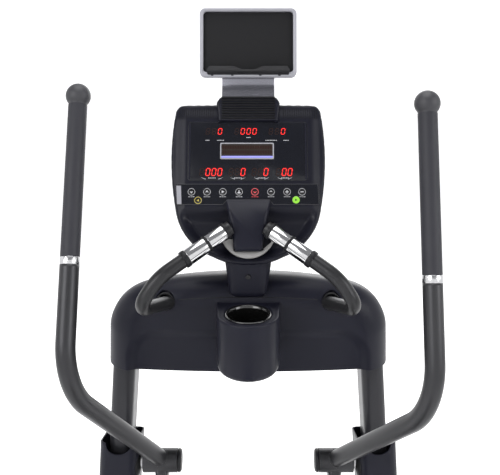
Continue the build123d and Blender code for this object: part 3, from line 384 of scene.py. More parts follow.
def surface(name, base, rough, metal=0.0, grain=900.0, depth=0.00008, strength=0.25,
            spread=0.12, wear=0.15, stretch=(1, 1, 1), **sockets):
    """Finish with a fine grain in its bump, and slow drift in its colour and gloss."""
    made, bsdf = shader(name, base, rough, metal, **sockets)
    where = coords(made, stretch)
    slow = noise(made, where, 9.0, 3.0)
    fine = noise(made, where, grain, 2.0)
    dark = [c * (1 - spread) for c in base]
    light = [min(c * (1 + spread), 1.0) for c in base]
    tinted(made, bsdf, slow, dark, light)
    gloss = ranged(made, noise(made, where, 38.0, 5.0), rough * (1 - wear), rough * (1 + wear))
    made.node_tree.links.new(gloss, bsdf.inputs["Roughness"])
    bumped(made, bsdf, fine, strength, depth)
    return made


def brushed(name, base, rough, along=(1, 60, 60), metal=1.0, **sockets):
    """Metal whose fine scratches are a noise drawn out along one axis."""
    made, bsdf = shader(name, base, rough, metal, **sockets)
    where = coords(made, along)
    lines = noise(made, where, 40.0, 6.0, 0.7)
    gloss = ranged(made, lines, rough * 0.7, rough * 1.4)
    made.node_tree.links.new(gloss, bsdf.inputs["Roughness"])
    tinted(made, bsdf, lines, [c * 0.88 for c in base], [min(c * 1.08, 1) for c in base])
    bumped(made, bsdf, lines, 0.15, 0.00003)
    return made


def glow(name, base, strength):
    """Lit segments, and inks with a painted glow: a dim plastic with its own light."""
    made, bsdf = shader(name, base, 0.4)
    bsdf.inputs["Emission Color"].default_value = (*base, 1)
    bsdf.inputs["Emission Strength"].default_value = strength
    return made


finishes = {}


def make_finishes(colours):
    """Every finish of the trainer, by a maker's name."""
    shell = tuple(colours.shell)
    paint = tuple(colours.paint)
    made = {
        "shell": surface("moulded_shell", shell, 0.38, grain=1500, strength=0.2,
                         depth=0.00005, Specular_IOR_Level=0.16),
        "shell_fine": surface("console_shell", [c * 0.8 for c in shell], 0.34, grain=1800,
                              strength=0.12, depth=0.00004, Specular_IOR_Level=0.18),
        "paint": surface("powder_coat", paint, 0.36, metal=0.1, grain=700, strength=0.3,
                         depth=0.00006, Specular_IOR_Level=0.3),
        "arm_paint": surface("arm_coat", (0.040, 0.040, 0.043), 0.34, metal=0.55, grain=800,
                             strength=0.25, depth=0.00005, Specular_IOR_Level=0.3),
        "bar_paint": surface("bar_coat", (0.030, 0.030, 0.032), 0.34, metal=0.5, grain=800,
                             strength=0.25, depth=0.00005, Specular_IOR_Level=0.3),
        "grip": surface("grip_rubber", tuple(colours.grip), 0.5, grain=650, strength=0.5,
                        depth=0.00012, Specular_IOR_Level=0.25),
        "knob": surface("knob_rubber", (0.026, 0.026, 0.031), 0.5, grain=420, strength=0.7,
                        depth=0.00025),
        "black": surface("black_plastic", (0.008, 0.008, 0.010), 0.45, grain=1200,
                         Specular_IOR_Level=0.25),
        "matte": surface("matte_black", (0.005, 0.005, 0.006), 0.75, grain=900,
                         Specular_IOR_Level=0.2),
        "gloss": surface("gloss_black", (0.005, 0.005, 0.006), 0.14, grain=300,
                         strength=0.04, depth=0.00002, Coat_Weight=0.4,
                         Coat_Roughness=0.1),
        "liner": surface("cup_liner_gloss", (0.005, 0.005, 0.005), 0.14, grain=220,
                         strength=0.12, depth=0.0001, Coat_Weight=0.6,
                         Coat_Roughness=0.08),
        "glass": surface("display_window", (0.004, 0.0045, 0.008), 0.2, grain=200,
                         strength=0.03, depth=0.00002, Specular_IOR_Level=0.35),
        "silver": surface("silver_plastic", tuple(colours.silver), 0.36, metal=0.2,
                          grain=1100, strength=0.15, depth=0.00004),
        "trim": surface("trim_plastic", (0.27, 0.265, 0.26), 0.4, grain=1100, strength=0.2,
                        depth=0.00005),
        "sheet": brushed("bracket_sheet", (0.22, 0.22, 0.25), 0.24, along=(1, 40, 40),
                         metal=0.95),
        "chrome": brushed("chrome_plate", (0.62, 0.62, 0.63), 0.13, along=(30, 30, 30)),
        "ring": brushed("satin_ring", (0.60, 0.60, 0.61), 0.22, along=(60, 60, 2)),
        "steel": brushed("machined_steel", (0.45, 0.45, 0.46), 0.32),
        "screw": brushed("blackened_steel", (0.035, 0.035, 0.037), 0.4, metal=0.8),
        "iron": brushed("turned_iron", (0.2, 0.2, 0.21), 0.42, along=(60, 8, 8)),
        "rubber": surface("black_rubber", (0.010, 0.010, 0.011), 0.62, grain=500,
                          strength=0.5, depth=0.00015, Specular_IOR_Level=0.2),
        "tread": surface("pedal_tread", (0.014, 0.014, 0.015), 0.6, grain=380,
                         strength=0.6, depth=0.0002, Specular_IOR_Level=0.3),
        "pad": surface("rack_pad", (0.012, 0.012, 0.013), 0.6, grain=850, strength=0.4,
                       depth=0.0001, Specular_IOR_Level=0.12),
        "lip": surface("rack_lip", (0.022, 0.022, 0.024), 0.45, grain=1000,
                       Specular_IOR_Level=0.25),
        "nylon": surface("bush_nylon", (0.55, 0.55, 0.5), 0.5, grain=600),
        "hub": surface("wheel_hub", (0.06, 0.06, 0.065), 0.45, grain=900),
        "board": surface("circuit_board", (0.02, 0.12, 0.05), 0.35, grain=260,
                         strength=0.5, depth=0.0003),
        "housing": surface("housing_plastic", [c * 0.9 for c in shell], 0.42, grain=1300,
                           strength=0.25, depth=0.00007, Specular_IOR_Level=0.25),
        "lit": glow("lit_segments", tuple(colours.lit), 0.42),
        "ghost": surface("unlit_segments", (0.020, 0.008, 0.006), 0.4, grain=300,
                         Specular_IOR_Level=0.2),
        "lcd": surface("lcd_glass", (0.026, 0.020, 0.017), 0.3, grain=300, strength=0.05,
                       Specular_IOR_Level=0.2),
        "lcd_light": glow("lcd_backlight", (0.22, 0.22, 0.62), 0.5),
        "white_ink": surface("white_ink", (0.42, 0.42, 0.44), 0.5, grain=600),
        "grey_ink": surface("grey_ink", (0.05, 0.05, 0.055), 0.5, grain=600),
        # red ink with a painted glow: a faint emission brightens the print, which gives no light
        # of its own
        "red_ink_painted_glow": glow("red_ink_painted_glow", (0.62, 0.06, 0.07), 0.1),
        "yellow_ink": surface("yellow_ink", (0.45, 0.36, 0.06), 0.5, grain=600),
        # green ink with a painted glow: an emission brightens the printed key, which gives no
        # light of its own
        "green_ink_painted_glow": glow("green_ink_painted_glow", (0.20, 0.50, 0.03), 0.25),
    }
    finishes.update(made)


def settle(piece, finish, body="frame", replaces=()):
    """Gives a piece its finish and its body, and hides the CAD nodes that it stands for."""
    piece.data.materials.clear()
    piece.data.materials.append(finishes[finish])
    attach(piece, body)
    if replaces:
        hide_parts(*replaces)
    return piece


# ---- shapes of this machine --------------------------------------------------------------
SHROUD_HALF, SHROUD_BOTTOM, SHROUD_TOP = 302.0, 1042.0, 1248.0
SHROUD_FRONT, SHROUD_BACK = 548.0, 740.0
SEAM_HEIGHT = 1207.0
CUP_CENTER = np.array([0.0, 490.0])
CUP_TOP, CUP_BOTTOM = 1205.0, 1084.0
BAR_HOLE = np.array([171.0, 548.0, 1203.0])
BAR_TURN = np.array([215.0, 464.0, 1223.0])
BAR_KNEE = np.array([174.0, 470.0, 1287.0])
GRIP_START = np.array([36.0, 541.0, 1367.0])
PIVOT = np.array([0.0, 635.0, 780.0])
SLEEVE_SPAN = (161.5, 240.0)
ARM_ROOT = np.array([195.0, 635.0, 780.0])
ELBOW = np.array([343.0, 359.0, 1092.6])
ARM_BEND = 130.0
GRIP_LEAN = radians(24.2)
GRIP_UP = np.array([0.0, sin(GRIP_LEAN), cos(GRIP_LEAN)])
RING_ALONG, BALL_ALONG = 238.5, 573.0
HANGER_X, HANGER_LENGTH = 198.0, 580.0
POST_Y, POST_FOOT, POST_TOP = 665.0, 80.0, 1135.0
COVER_BOTTOM, COVER_TOP, COVER_BACK_TOP = 620.0, 848.0, 806.0
CRANK_Y, CRANK_Z, CRANK_RADIUS = -475.0, 330.0, 190.0
SHROUD_EDGE = 54.0              # radius of the face's outer edge
LID_ROUND, LID_FALL, SHOULDER = 40.0, 40.0, 1090.0
SEAM_HALF, SEAM_CROWN = 143.0, 8.0
CUP_FRONT, CUP_REACH, CUP_FLOOR_ROUND = 61.5, 88.0, 16.0
BAND_HALF = 7.5
SLEEVE_RADIUS, SLEEVE_BORE = 27.0, 22.9
HINGE_BORE = 15.2
LEAN_X, LEAN_Z, LEAN_RATE = 272.5, 1028.0, 0.0857    # a post's centre and its lean
NOTCH_RADIUS = 29.0
FOOT_TUBE_Z, HOUSING_HALF = 50.0, 114.85
SEAM_SECTION = rounded_rect(1.6 * MM, 1.0 * MM, 0.3 * MM, 3)


def shroud_rim(count):
    """Front view of the shroud: straight sides, round shoulders and a shallow crown."""
    half = [np.array([[SHROUD_HALF, SHROUD_BOTTOM], [SHROUD_HALF - 5, 1130.0]]),
            arc3((SHROUD_HALF - 5, 1130.0), (SHROUD_HALF - 30, 1187.0),
                 (SHROUD_HALF - 92, 1225.0), 24),
            arc3((SHROUD_HALF - 92, 1225.0), (SHROUD_HALF - 184, 1242.0),
                 (0.0, SHROUD_TOP), 24)]
    right = np.vstack(half)
    rim = np.vstack([right * (-1, 1), right[::-1]])
    return evenly(rim, count)


def rounded_box_gap(x, z, half, top, corner):
    """Signed distance to a box that is half wide each way, ends at top and has round
    corners: the length of the outer part of q, plus its inner part, less the radius."""
    qx, qz = np.abs(x) - (half - corner), z - (top - corner)
    outer = np.hypot(np.maximum(qx, 0), np.maximum(qz, 0))
    return outer + np.minimum(np.maximum(qx, qz), 0) - corner


def shroud_face(x, z, gap, recess):
    """Depth of the shroud's face: a bow across, a round edge by distance to the rim, a lean
    below, a sunk panel and a dimple round each bar."""
    near = np.clip(SHROUD_EDGE - gap, 0, SHROUD_EDGE)
    brow = SHROUD_EDGE - np.sqrt(SHROUD_EDGE ** 2 - near ** 2)
    bow = 20.0 * (x / SHROUD_HALF) ** 2
    lean = 4.0 * smooth((1140 - z) / 110)
    panel = rounded_box_gap(x, z, 262.0, 1146.0, 78.0)
    sunk = recess * smooth(-panel / 30.0)
    hole = np.hypot(np.abs(x) - BAR_HOLE[0], (z - BAR_HOLE[2]))
    dimple = 14.0 * smooth((18.5 - hole) / 3.5)
    return SHROUD_FRONT + bow + brow + lean + sunk + dimple


def build_shroud(sizes):
    """Shell over the crossbar: u runs along the rim, v runs up the face, over the round
    edge, back over the top and down the rear."""
    columns, rows = 360, 110
    rim = shroud_rim(columns)
    foot = np.stack([np.linspace(-SHROUD_HALF, SHROUD_HALF, columns),
                     np.full(columns, SHROUD_BOTTOM)], -1)
    climb = smooth(np.linspace(0, 1, rows)) * 0.35 + np.linspace(0, 1, rows) * 0.65
    plan = foot[None] + climb[:, None, None] * (rim - foot)[None]
    dense = shroud_rim(900)
    gap = rim_gap(plan, dense)
    depth = shroud_face(plan[..., 0], plan[..., 1], gap, sizes.recess / MM)
    front = np.stack([plan[..., 0], depth, plan[..., 1]], -1)
    edge = front[-1]
    fall = np.stack([np.zeros(columns), np.zeros(columns),
                     -LID_FALL * smooth((rim[:, 1] - SHOULDER) / (SHROUD_TOP - SHOULDER))], -1)
    lid_end = SHROUD_BACK - LID_ROUND
    back_edge = np.column_stack([rim[:, 0], np.full(columns, lid_end), rim[:, 1]]) + fall
    top = np.stack([edge + (back_edge - fall - edge) * t + fall * t * t
                    for t in np.linspace(0, 1, 14)[1:]])
    t = np.linspace(0, pi / 2, 8)[1:]
    lowered = back_edge[:, [0, 2]]
    inward = foot - lowered
    reach = np.maximum(np.linalg.norm(inward, axis=1, keepdims=True), 1e-6)
    round_in = np.minimum(24.0, reach)
    turn = [np.column_stack([lowered + inward / reach * round_in * (1 - cos(a)),
                             np.full(columns, lid_end + LID_ROUND * sin(a))])[:, [0, 2, 1]]
            for a in t]
    last = turn[-1]
    down = np.stack([last + s * (np.column_stack([foot[:, 0], np.full(columns, SHROUD_BACK),
                                                  foot[:, 1]]) - last)
                     for s in np.linspace(0, 1, 20)[1:]])
    grid = np.concatenate([front, top, np.stack(turn), down]) * MM
    shell = grid_piece("shroud_shell", grid)
    modifier(shell, "SOLIDIFY", thickness=3 * MM, offset=-1)
    settle(shell, "shell", replaces=("shroud_body", "shroud_cap"))

    across_x = np.linspace(-SEAM_HALF, SEAM_HALF, 90)
    rise = SEAM_HEIGHT + SEAM_CROWN * (1 - (across_x / SEAM_HALF) ** 2)
    seam_gap = rim_gap(np.stack([across_x, rise], -1), dense)
    seam_y = shroud_face(across_x, rise, seam_gap, 0.0) + 0.1
    seam = stacked(across_x, seam_y, rise)
    strip = tube_piece("shroud_seam", seam, SEAM_SECTION, up=(0, 1, 0))
    settle(strip, "black")

    for side, sign in SIDES:
        mouth = np.array([sign * BAR_HOLE[0], BAR_HOLE[1] + 8.2, BAR_HOLE[2]]) * MM
        ring = soft_corners([(14.8, 20), (14.8, 1), (15.8, -2.6), (17.6, -3.2), (18.6, -1.0),
                             (18.4, 12), (14.8, 20)], 1.6)
        piece = turned(f"{side}_bar_grommet", ring, mouth, (0, 1, -0.27))
        settle(piece, "rubber")
        for x, z in ((120.0, 1105.0), (262.0, 1090.0)):
            spot = np.array([sign * x, SHROUD_BACK, z]) * MM
            head = soft_corners([(0.01, 0.4), (2.4, 0.4), (3.0, 1.6), (5.2, 1.4), (6.2, -0.5),
                                 (6.2, -3.0), (0.01, -3.0)], 0.5)
            flat_head = head * (1, 0.3)
            screw = turned(f"{side}_shroud_screw_{int(x)}", flat_head, spot, (0, 1, 0), 32)
            settle(screw, "screw")


def cup_outline(count, grow):
    """Top view of the cup body, by angle from its middle: a semicircle in front and
    straight sides that spread towards the shroud."""
    t = np.arange(count) * 2 * pi / count
    dx, dy = np.cos(t), np.sin(t)
    front = CUP_FRONT + grow
    side = (front + 5.0 * np.clip(dy, 0, 1)) / np.maximum(np.abs(dx), 1e-6)
    back = (CUP_REACH + grow) / np.maximum(dy, 1e-6)
    reach = np.where(dy < 0, front, np.minimum(side, back))
    return CUP_CENTER + reach[:, None] * np.stack([dx, dy], -1), np.stack([dx, dy], -1)


def build_cup(sizes):
    """Cup body: rings of one outline, drawn in at the rounded floor, straight up the wall,
    over the lip and in to the bore. The liner is a lathe shape."""
    count = 160
    rows = []
    for a in np.linspace(0, pi / 2, 7):
        ring, _ = cup_outline(count, -CUP_FLOOR_ROUND * (1 - sin(a)))
        height = CUP_BOTTOM + CUP_FLOOR_ROUND * (1 - cos(a))
        rows.append(np.column_stack([ring, np.full(count, height)]))
    for z, grow in ((1140.0, 0.0), (CUP_TOP - 5, 0.0), (CUP_TOP - 1.5, -0.4),
                    (CUP_TOP - 0.3, -1.4), (CUP_TOP, -3.0)):
        ring, _ = cup_outline(count, grow)
        rows.append(np.column_stack([ring, np.full(count, z)]))
    lip, facing = cup_outline(count, -5.0)
    bore = CUP_CENTER + (sizes.cup_radius / MM + 5.5) * facing
    for share, z in ((0.0, CUP_TOP - 0.6), (0.6, CUP_TOP - 1.2), (1.0, CUP_TOP - 1.2),
                     (1.0, CUP_TOP - 30)):
        rows.append(np.column_stack([lip + (bore - lip) * share, np.full(count, z)]))
    body = grid_piece("cup_housing", np.stack(rows)[::-1] * MM, wrap_cols=True)
    settle(body, "shell")

    inner = sizes.cup_radius / MM
    wall = soft_corners([(0.01, -96), (inner - 3, -96), (inner, -90), (inner, -4),
                         (inner + 1.5, 0.2), (inner + 4.5, 2.0), (inner + 7.0, 0.8),
                         (inner + 6.8, -2.0), (inner + 2.5, -3.0), (inner + 2.5, -97.8),
                         (0.01, -97.8)], 3.0, 5)
    liner = turned("cup_liner_ring", wall, np.array([0, CUP_CENTER[1], CUP_TOP]) * MM,
                   (0, 0, 1), 96)
    settle(liner, "liner", replaces=("cup_liner",))


def build_mast_cover():
    """Casing of the mast: each level is a flat front, a bevel and a side, and the levels
    narrow towards a rounded foot."""
    bottom, rise, curl = 1213.0, 77.0, 13.0
    levels = np.concatenate([[bottom], bottom + 3 + 12 * smooth(np.linspace(0, 1, 6)),
                             np.linspace(bottom + 23, bottom + rise, 6)])
    rows = []
    for z in levels:
        share = np.clip((z - bottom) / rise, 0, 1)
        half = 37.0 + 10.0 * share
        face = half - 5.5 - 3.0 * share
        foot = max(0.0, (bottom + curl - z) / curl)
        front = 545.0 + 4.0 * share + 12 * foot ** 2
        half -= 8 * foot ** 2
        face -= 6 * foot ** 2
        right = [(0, front - 2), (face * 0.6, front - 1.4), (face - 1.5, front),
                 (face, front + 0.8), (half - 0.8, front + 8.5), (half, front + 10.5),
                 (half, 600), (half - 3, 676), (half - 8, 682), (0, 682)]
        ring = right + [(-x, y) for x, y in right[-2:0:-1]]
        rows.append([(x, y, z) for x, y in ring])
    cover = grid_piece("mast_casing", np.array(rows) * MM, wrap_cols=True, cap_ends=True)
    bevel(cover, 1.5, 3, 25)
    settle(cover, "shell", replaces=("mast_cover",))
    head = soft_corners([(0.01, -0.2), (2.0, -0.2), (2.6, -1.6), (4.6, -1.6), (5.2, 0.4),
                         (5.2, 2.5), (0.01, 2.5)], 0.5)
    screw = turned("mast_screw", head, np.array([0, 545.4, 1262]) * MM, (0, 1, 0), 32)
    settle(screw, "screw")


# ---- console ---------------------------------------------------------------------------
def console_rim(count):
    """Outline of the console, across and up the slope: nearly straight top, round upper
    corners, bowed flanks and a deep round chin."""
    half = [np.array([[0, 171.5], [136.0, 170.0]]),
            arc3((136.0, 170.0), (147.0, 165.5), (151.5, 154.0), 10),
            arc3((151.5, 154.0), (158.8, 72.0), (148.5, -50.0), 30),
            arc3((148.5, -50.0), (119.0, -113.5), (70.0, -146.5), 24),
            arc3((70.0, -146.5), (36.0, -159.0), (0.0, -162.5), 14)]
    right = np.vstack(half)
    return evenly(np.vstack([right, right[-2:0:-1] * (-1, 1)]), count, closed=True)


def console_height(x, up, gap):
    """Height of the console's face: flanks fall away beside the display and a brow above
    it, a trough lies between the keys and the chin, and the rim keeps its height."""
    flank = -7.0 * smooth((np.abs(x) - 127) / 26)
    brow = -5.0 * smooth((up - 137) / 30)
    trough = -17.0 * smooth((-45 - up) / 34) * smooth((gap - 4) / 22)
    return flank + brow + trough


def build_console_shell():
    """Front shell: rings shrink from the rim to one point; each ring's height follows the
    distance to the rim. The back shell tapers away behind it."""
    count, inner, depth = 280, 90, -22.0
    rim = console_rim(count)
    dense = console_rim(900)
    middle = np.array([0.0, 10.0])
    steps = 1 - np.linspace(0, 1, inner) ** 1.25
    plan = middle + steps[:, None, None] * (rim - middle)
    gap = rim_gap(plan, dense)
    edge = 6.0
    near = np.clip(edge - gap, 0, edge)
    height = console_height(plan[..., 0], plan[..., 1], gap)
    height = height - (edge - np.sqrt(edge ** 2 - near ** 2))
    face = on_console(plan[..., 0], plan[..., 1], height)
    back = on_console(rim[:, 0], rim[:, 1], depth)[None]
    step = on_console(rim[:, 0] * 0.985, rim[:, 1] * 0.985, depth)[None]
    shell = grid_piece("console_shell", np.concatenate([step, back, face]), wrap_cols=True,
                       cap_ends=True)
    settle(shell, "shell_fine", replaces=("console_front",))

    rows = [on_console(rim[:, 0] * taper, rim[:, 1] * taper, out) for out, taper in (
        (-22.6, 0.985), (-22.6, 1.0), (-38.0, 0.985), (-50.0, 0.955), (-54.0, 0.935),
        (-55.0, 0.90))]
    rear = grid_piece("console_rear", np.stack(rows), wrap_cols=True, cap_ends=True)
    settle(rear, "shell", replaces=("console_back",))

    vents = [rounded_rect(12, 3.2, 1.5, 3) + (x, up) for x in np.linspace(-90, 90, 10)
             for up in (40.0, 52.0, 64.0, 76.0)]
    rear_vents = decals("console_rear_vents", vents, on_console, -55.35, 0.3)
    settle(rear_vents, "black")


def build_display():
    """Display window, its lighter edge strips, the text screen and its frame."""
    window = rounded_rect(246, 124, 4) + (-1.0, 70.0)
    panel = slab("display_window", evenly(window, 120, closed=True), -2.5, 0.9, on_console,
                 0.8)
    settle(panel, "glass", replaces=("display_panel",))
    strips = decals("display_edges",
                    [rounded_rect(3.2, 118, 1.2, 4) + (x, 70.0) for x in (-120.2, 118.2)],
                    on_console, 0.9, 0.5)
    settle(strips, "shell")
    outer = even_rect(110.5, 34.6, 1.5, 96) + (-2.4, 70.4)
    inner = even_rect(105.5, 29.6, 0.8, 96) + (-2.4, 70.4)
    rings = [(outer, 0.6), (outer, 2.0), (outer * 0.15 + inner * 0.85, 2.5), (inner, 2.0),
             (inner, 0.8)]
    bezel = grid_piece("screen_bezel",
                       np.stack([on_console(r[:, 0], r[:, 1], h) for r, h in rings]),
                       wrap_rows=True, wrap_cols=True)
    settle(bezel, "silver", replaces=("lcd_bezel",))
    screen = decals("text_screen", [rounded_rect(105.5, 25.2, 0.8) + (-2.4, 72.8)],
                    on_console, 0.95, 0.3)
    settle(screen, "lcd")
    cells = [rounded_rect(4.2, 7.0, 0.3, 2) + (x, up) for up in (68.0, 78.0)
             for x in np.linspace(-51.4, 46.6, 20)]
    dots = decals("screen_cells", cells, on_console, 1.3, 0.1)
    settle(dots, "ghost")
    light = decals("screen_backlight", [rounded_rect(105.5, 3.8, 0.8) + (-2.4, 58.2)],
                   on_console, 0.95, 0.35)
    settle(light, "lcd_light")


def segment_shapes(x, up, tall, wide, lit):
    """Outlines of a slanted seven-segment digit: three bars across and four up, each a
    bar with pointed ends. Bar order is top, top right, low right, foot, low left, top
    left, middle."""
    thick = tall * 0.125
    half, rise = wide / 2, tall / 2
    spans = [((-half, rise), (half, rise)), ((half, rise), (half, 0)), ((half, 0), (half, -rise)),
             ((-half, -rise), (half, -rise)), ((-half, 0), (-half, -rise)),
             ((-half, rise), (-half, 0)), ((-half, 0), (half, 0))]
    shapes = []
    for k in lit:
        a, b = (np.array(p, float) for p in spans[k])
        along = unit(b - a)
        square = np.array([-along[1], along[0]]) * thick / 2
        a, b = a + along * thick * 0.22, b - along * thick * 0.22
        tip = along * thick / 2
        bar = np.array([a, a + tip + square, b - tip + square, b, b - tip - square,
                        a + tip - square])
        slanted = bar + bar[:, 1:] * (0.14, 0)
        shapes.append(slanted + (x, up))
    return shapes


def build_digits():
    """Lit digits, all noughts, with unlit digits beside them, and printed marks."""
    lit, dim = [], []
    nought, eight = (0, 1, 2, 3, 4, 5), range(7)
    upper, lower = (112.0, 12.0, 7.0), (26.4, 14.6, 7.6)
    rows = [(upper, (-58.0,), (-70.5, -83.0)), (upper, (-11.2, 1.0, 13.2), (-23.6,)),
            (upper, (72.0,), (59.5, 47.0)), (lower, (-82.4, -70.2, -58.0), (-94.6,)),
            (lower, (-10.6,), (-22.8, -35.0)), (lower, (36.4,), (24.2, 12.0)),
            (lower, (73.6, 85.6), (61.6,))]
    for (up, tall, wide), on, off in rows:
        for x in on:
            lit += segment_shapes(x, up, tall, wide, nought)
        for x in off:
            dim += segment_shapes(x, up, tall, wide, eight)
    digits = decals("lit_digits", lit, on_console, 1.0, 0.25)
    settle(digits, "lit")
    unlit = decals("unlit_digits", dim, on_console, 0.95, 0.2)
    settle(unlit, "ghost")
    marks = []
    for x, up, count in ((0.5, 99.0, 3), (-84, 93.0, 3), (-57, 93.0, 5), (47, 93.0, 8),
                         (78, 93.0, 4)):
        spots = x + 3.0 * (np.arange(count) - (count - 1) / 2)
        marks += [rounded_rect(2.1, 1.7, 0.4, 2) + (spot, up) for spot in spots]
    for x, half in ((-74, 22), (-21, 15), (27, 15), (75, 15)):
        for sign in (-1, 1):
            t = np.linspace(0, 1, 7)
            sweep = np.stack([x + sign * (half - 9 * t), 15.6 - 3.4 * t ** 0.6], -1)
            thin = np.stack([sweep[:, 0], sweep[:, 1] - 0.3 - 0.9 * t], -1)
            marks.append(np.vstack([sweep, thin[::-1]]))
        spots = x + 3.2 * (np.arange(5) - 2)
        marks += [rounded_rect(2.3, 1.6, 0.4, 2) + (spot, 14.0) for spot in spots]
    prints = decals("display_marks", marks, on_console, 0.95, 0.15)
    settle(prints, "white_ink")


def ring_shapes(x, up, outer, inner, count=24):
    """A flat ring as two half rings, so that each is one outline."""
    t = np.linspace(0, pi, count)
    half = np.vstack([outer * np.stack([np.cos(t), np.sin(t)], -1),
                      inner * np.stack([np.cos(t[::-1]), np.sin(t[::-1])], -1)])
    return [half + (x, up), half * (1, -1) + (x, up)]


def build_keypad():
    """Key membrane with its raised keys, rings and plain signs."""
    shape = np.array([(-147, 1.6), (144, 1.6), (146, -41.0), (52, -41.0), (44, -31.0),
                      (-44, -31.0), (-52, -41.0), (-146, -41.0)])
    sheet = decals("key_membrane", [shape], on_console, -3.0, 3.6)
    bevel(sheet, 0.4, 2, 40)
    settle(sheet, "glass", replaces=("keypad",))
    border = []
    for (x0, y0), (x1, y1) in zip(shape, np.roll(shape, -1, axis=0)):
        a, b = np.array([x0, y0]), np.array([x1, y1])
        along = unit(b - a)
        square = np.array([-along[1], along[0]]) * 0.32
        border.append(np.array([a - square, b - square, b + square, a + square]) * 0.985
                      + (0, -0.3))
    edge = decals("membrane_edge", border, on_console, 0.6, 0.12)
    settle(edge, "grey_ink")
    strip = decals("membrane_strip", [np.array([(-146.5, -2), (-137, -2), (-135.5, -40),
                                                (-144.5, -40)])], on_console, 0.62, 0.3)
    settle(strip, "silver")

    red_x, key_row = 13.6, -14.9
    yellow_key, green_key = (-102.0, -32.5), (97.2, -31.5)
    keys = [-115.5, -83.9, -51.7, -18.7, red_x, 46.4, 79.0, 109.6]
    spots = [(x, key_row) for x in keys] + [yellow_key, green_key]
    t = np.arange(36) * 2 * pi / 36
    for k, (x, up) in enumerate(spots):
        rows = [on_console(x + r * np.cos(t), up + r * np.sin(t), h)
                for r, h in ((8.2, 0.5), (7.9, 1.0), (6.0, 1.35), (3.0, 1.5), (0.05, 1.55))]
        dome = grid_piece(f"key_{k + 1}", np.stack(rows), wrap_cols=True, cap_ends=True)
        settle(dome, "gloss")

    arrow = np.array([(-3.6, 1.6), (0, -3.6), (3.6, 1.6), (1.4, 0.4), (-1.4, 0.4)])
    bar = rounded_rect(7.0, 1.8, 0.6, 2)
    play = np.array([(-2.2, 3.2), (3.4, 0), (-2.2, -3.2)])
    house = np.array([(-3.2, -3.2), (3.2, -3.2), (3.2, -1.2), (0.9, 0.4), (0.9, 3.6),
                      (-0.9, 3.6), (-0.9, 0.4), (-3.2, -1.2)])
    tick = np.array([(-3.4, 0.6), (0, -3.0), (3.4, 0.6), (0, -0.6)])
    signs = [[arrow], [arrow * (1, -1)], [play], [house], [tick], [tick * (1, -1)],
             [bar, bar[:, ::-1]], [bar]]
    white = []
    for (x, up), shapes in zip(spots, signs):
        if x != red_x:
            white += ring_shapes(x, up, 7.3, 6.65) + [s + (x, up) for s in shapes]
            white += [rounded_rect(w, 1.0, 0.3, 2) + (x + dx, up - 10.2)
                      for w, dx in ((4.2, -4.6), (3.0, 0.0), (4.2, 4.6))]
    settle(decals("white_signs", white, on_console, 1.62, 0.12), "white_ink")
    # the red ring, tick and marks carry the red ink with its painted glow
    red = ring_shapes(red_x, key_row, 7.5, 6.5) + [tick * 1.25 + (red_x, -14.4)]
    red += [rounded_rect(4.2, 1.0, 0.3, 2) + (red_x + dx, -25.1) for dx in (-5, 0, 5)]
    settle(decals("red_signs", red, on_console, 1.62, 0.12), "red_ink_painted_glow")
    yellow = ring_shapes(*yellow_key, 7.3, 6.3) + [play * 0.8 * (-1, 1) + yellow_key]
    settle(decals("yellow_signs", yellow, on_console, 1.62, 0.12), "yellow_ink")
    # the green key disc carries the green ink with its painted glow
    green = [circle(7.3, 32) + green_key]
    settle(decals("green_key", green, on_console, 1.58, 0.12), "green_ink_painted_glow")
    settle(decals("green_sign", [play * 0.8 + green_key], on_console, 1.72, 0.12),
           "black")


def build_vent(sizes):
    """Ribbed block over the display with its round-shouldered surround, and the dotted
    grilles on both sides."""
    surround = [(-62, 133), (-64, 158), (-66, 172), (-58, 184.5), (58, 184.5), (66, 172),
                (64, 158), (62, 133)]
    rim = rounded_path(surround, [4, 10, 9, 9, 10, 4], 6)
    block = slab("vent_surround", evenly(rim, 120, closed=True), -20.0, 8.0, on_console, 5.0)
    settle(block, "shell_fine")
    step = 48.0 / sizes.rib_count
    up = 137.0
    profile = [(up - 1.5, 6.0)]
    for _ in range(sizes.rib_count):
        profile += [(up, 7.2), (up + 0.6, 10.6), (up + step * 0.55, 10.8),
                    (up + step * 0.62, 7.2)]
        up += step
    profile += [(up + 0.4, 6.0)]
    slope, height = np.array(profile).T
    rib_half, rib_floor = 55.0, 4.0
    rows = [on_console(x, slope, out) for x, out in (
        (-rib_half, rib_floor), (-rib_half, height), (rib_half, height), (rib_half, rib_floor))]
    ribs = grid_piece("vent_ribs", np.stack(rows), wrap_rows=True)
    bevel(ribs, 0.3, 2, 30)
    settle(ribs, "matte")

    holes, dot = [], circle(1.25, 8)
    for sign in (-1, 1):
        for k, x in enumerate(np.arange(73.0, 143.0, 4.6)):
            for up in np.arange(140.5 + 1.3 * (k % 2), 162.0, 3.4):
                holes.append(dot + (sign * x, up))
    tall = [console_height(h[:, 0], h[:, 1], np.full(len(h), 20.0)).mean() for h in holes]
    points, faces = [], []
    for outline, height in zip(holes, tall):
        base = len(points) * len(dot)
        points.append(on_console(outline[:, 0], outline[:, 1], height + 0.2))
        faces.append([base + k for k in range(len(dot))])
    grille = mesh_piece("grille_holes", np.vstack(points), faces, smooth_shade=False)
    modifier(grille, "SOLIDIFY", thickness=0.3 * MM, offset=0)
    settle(grille, "matte")


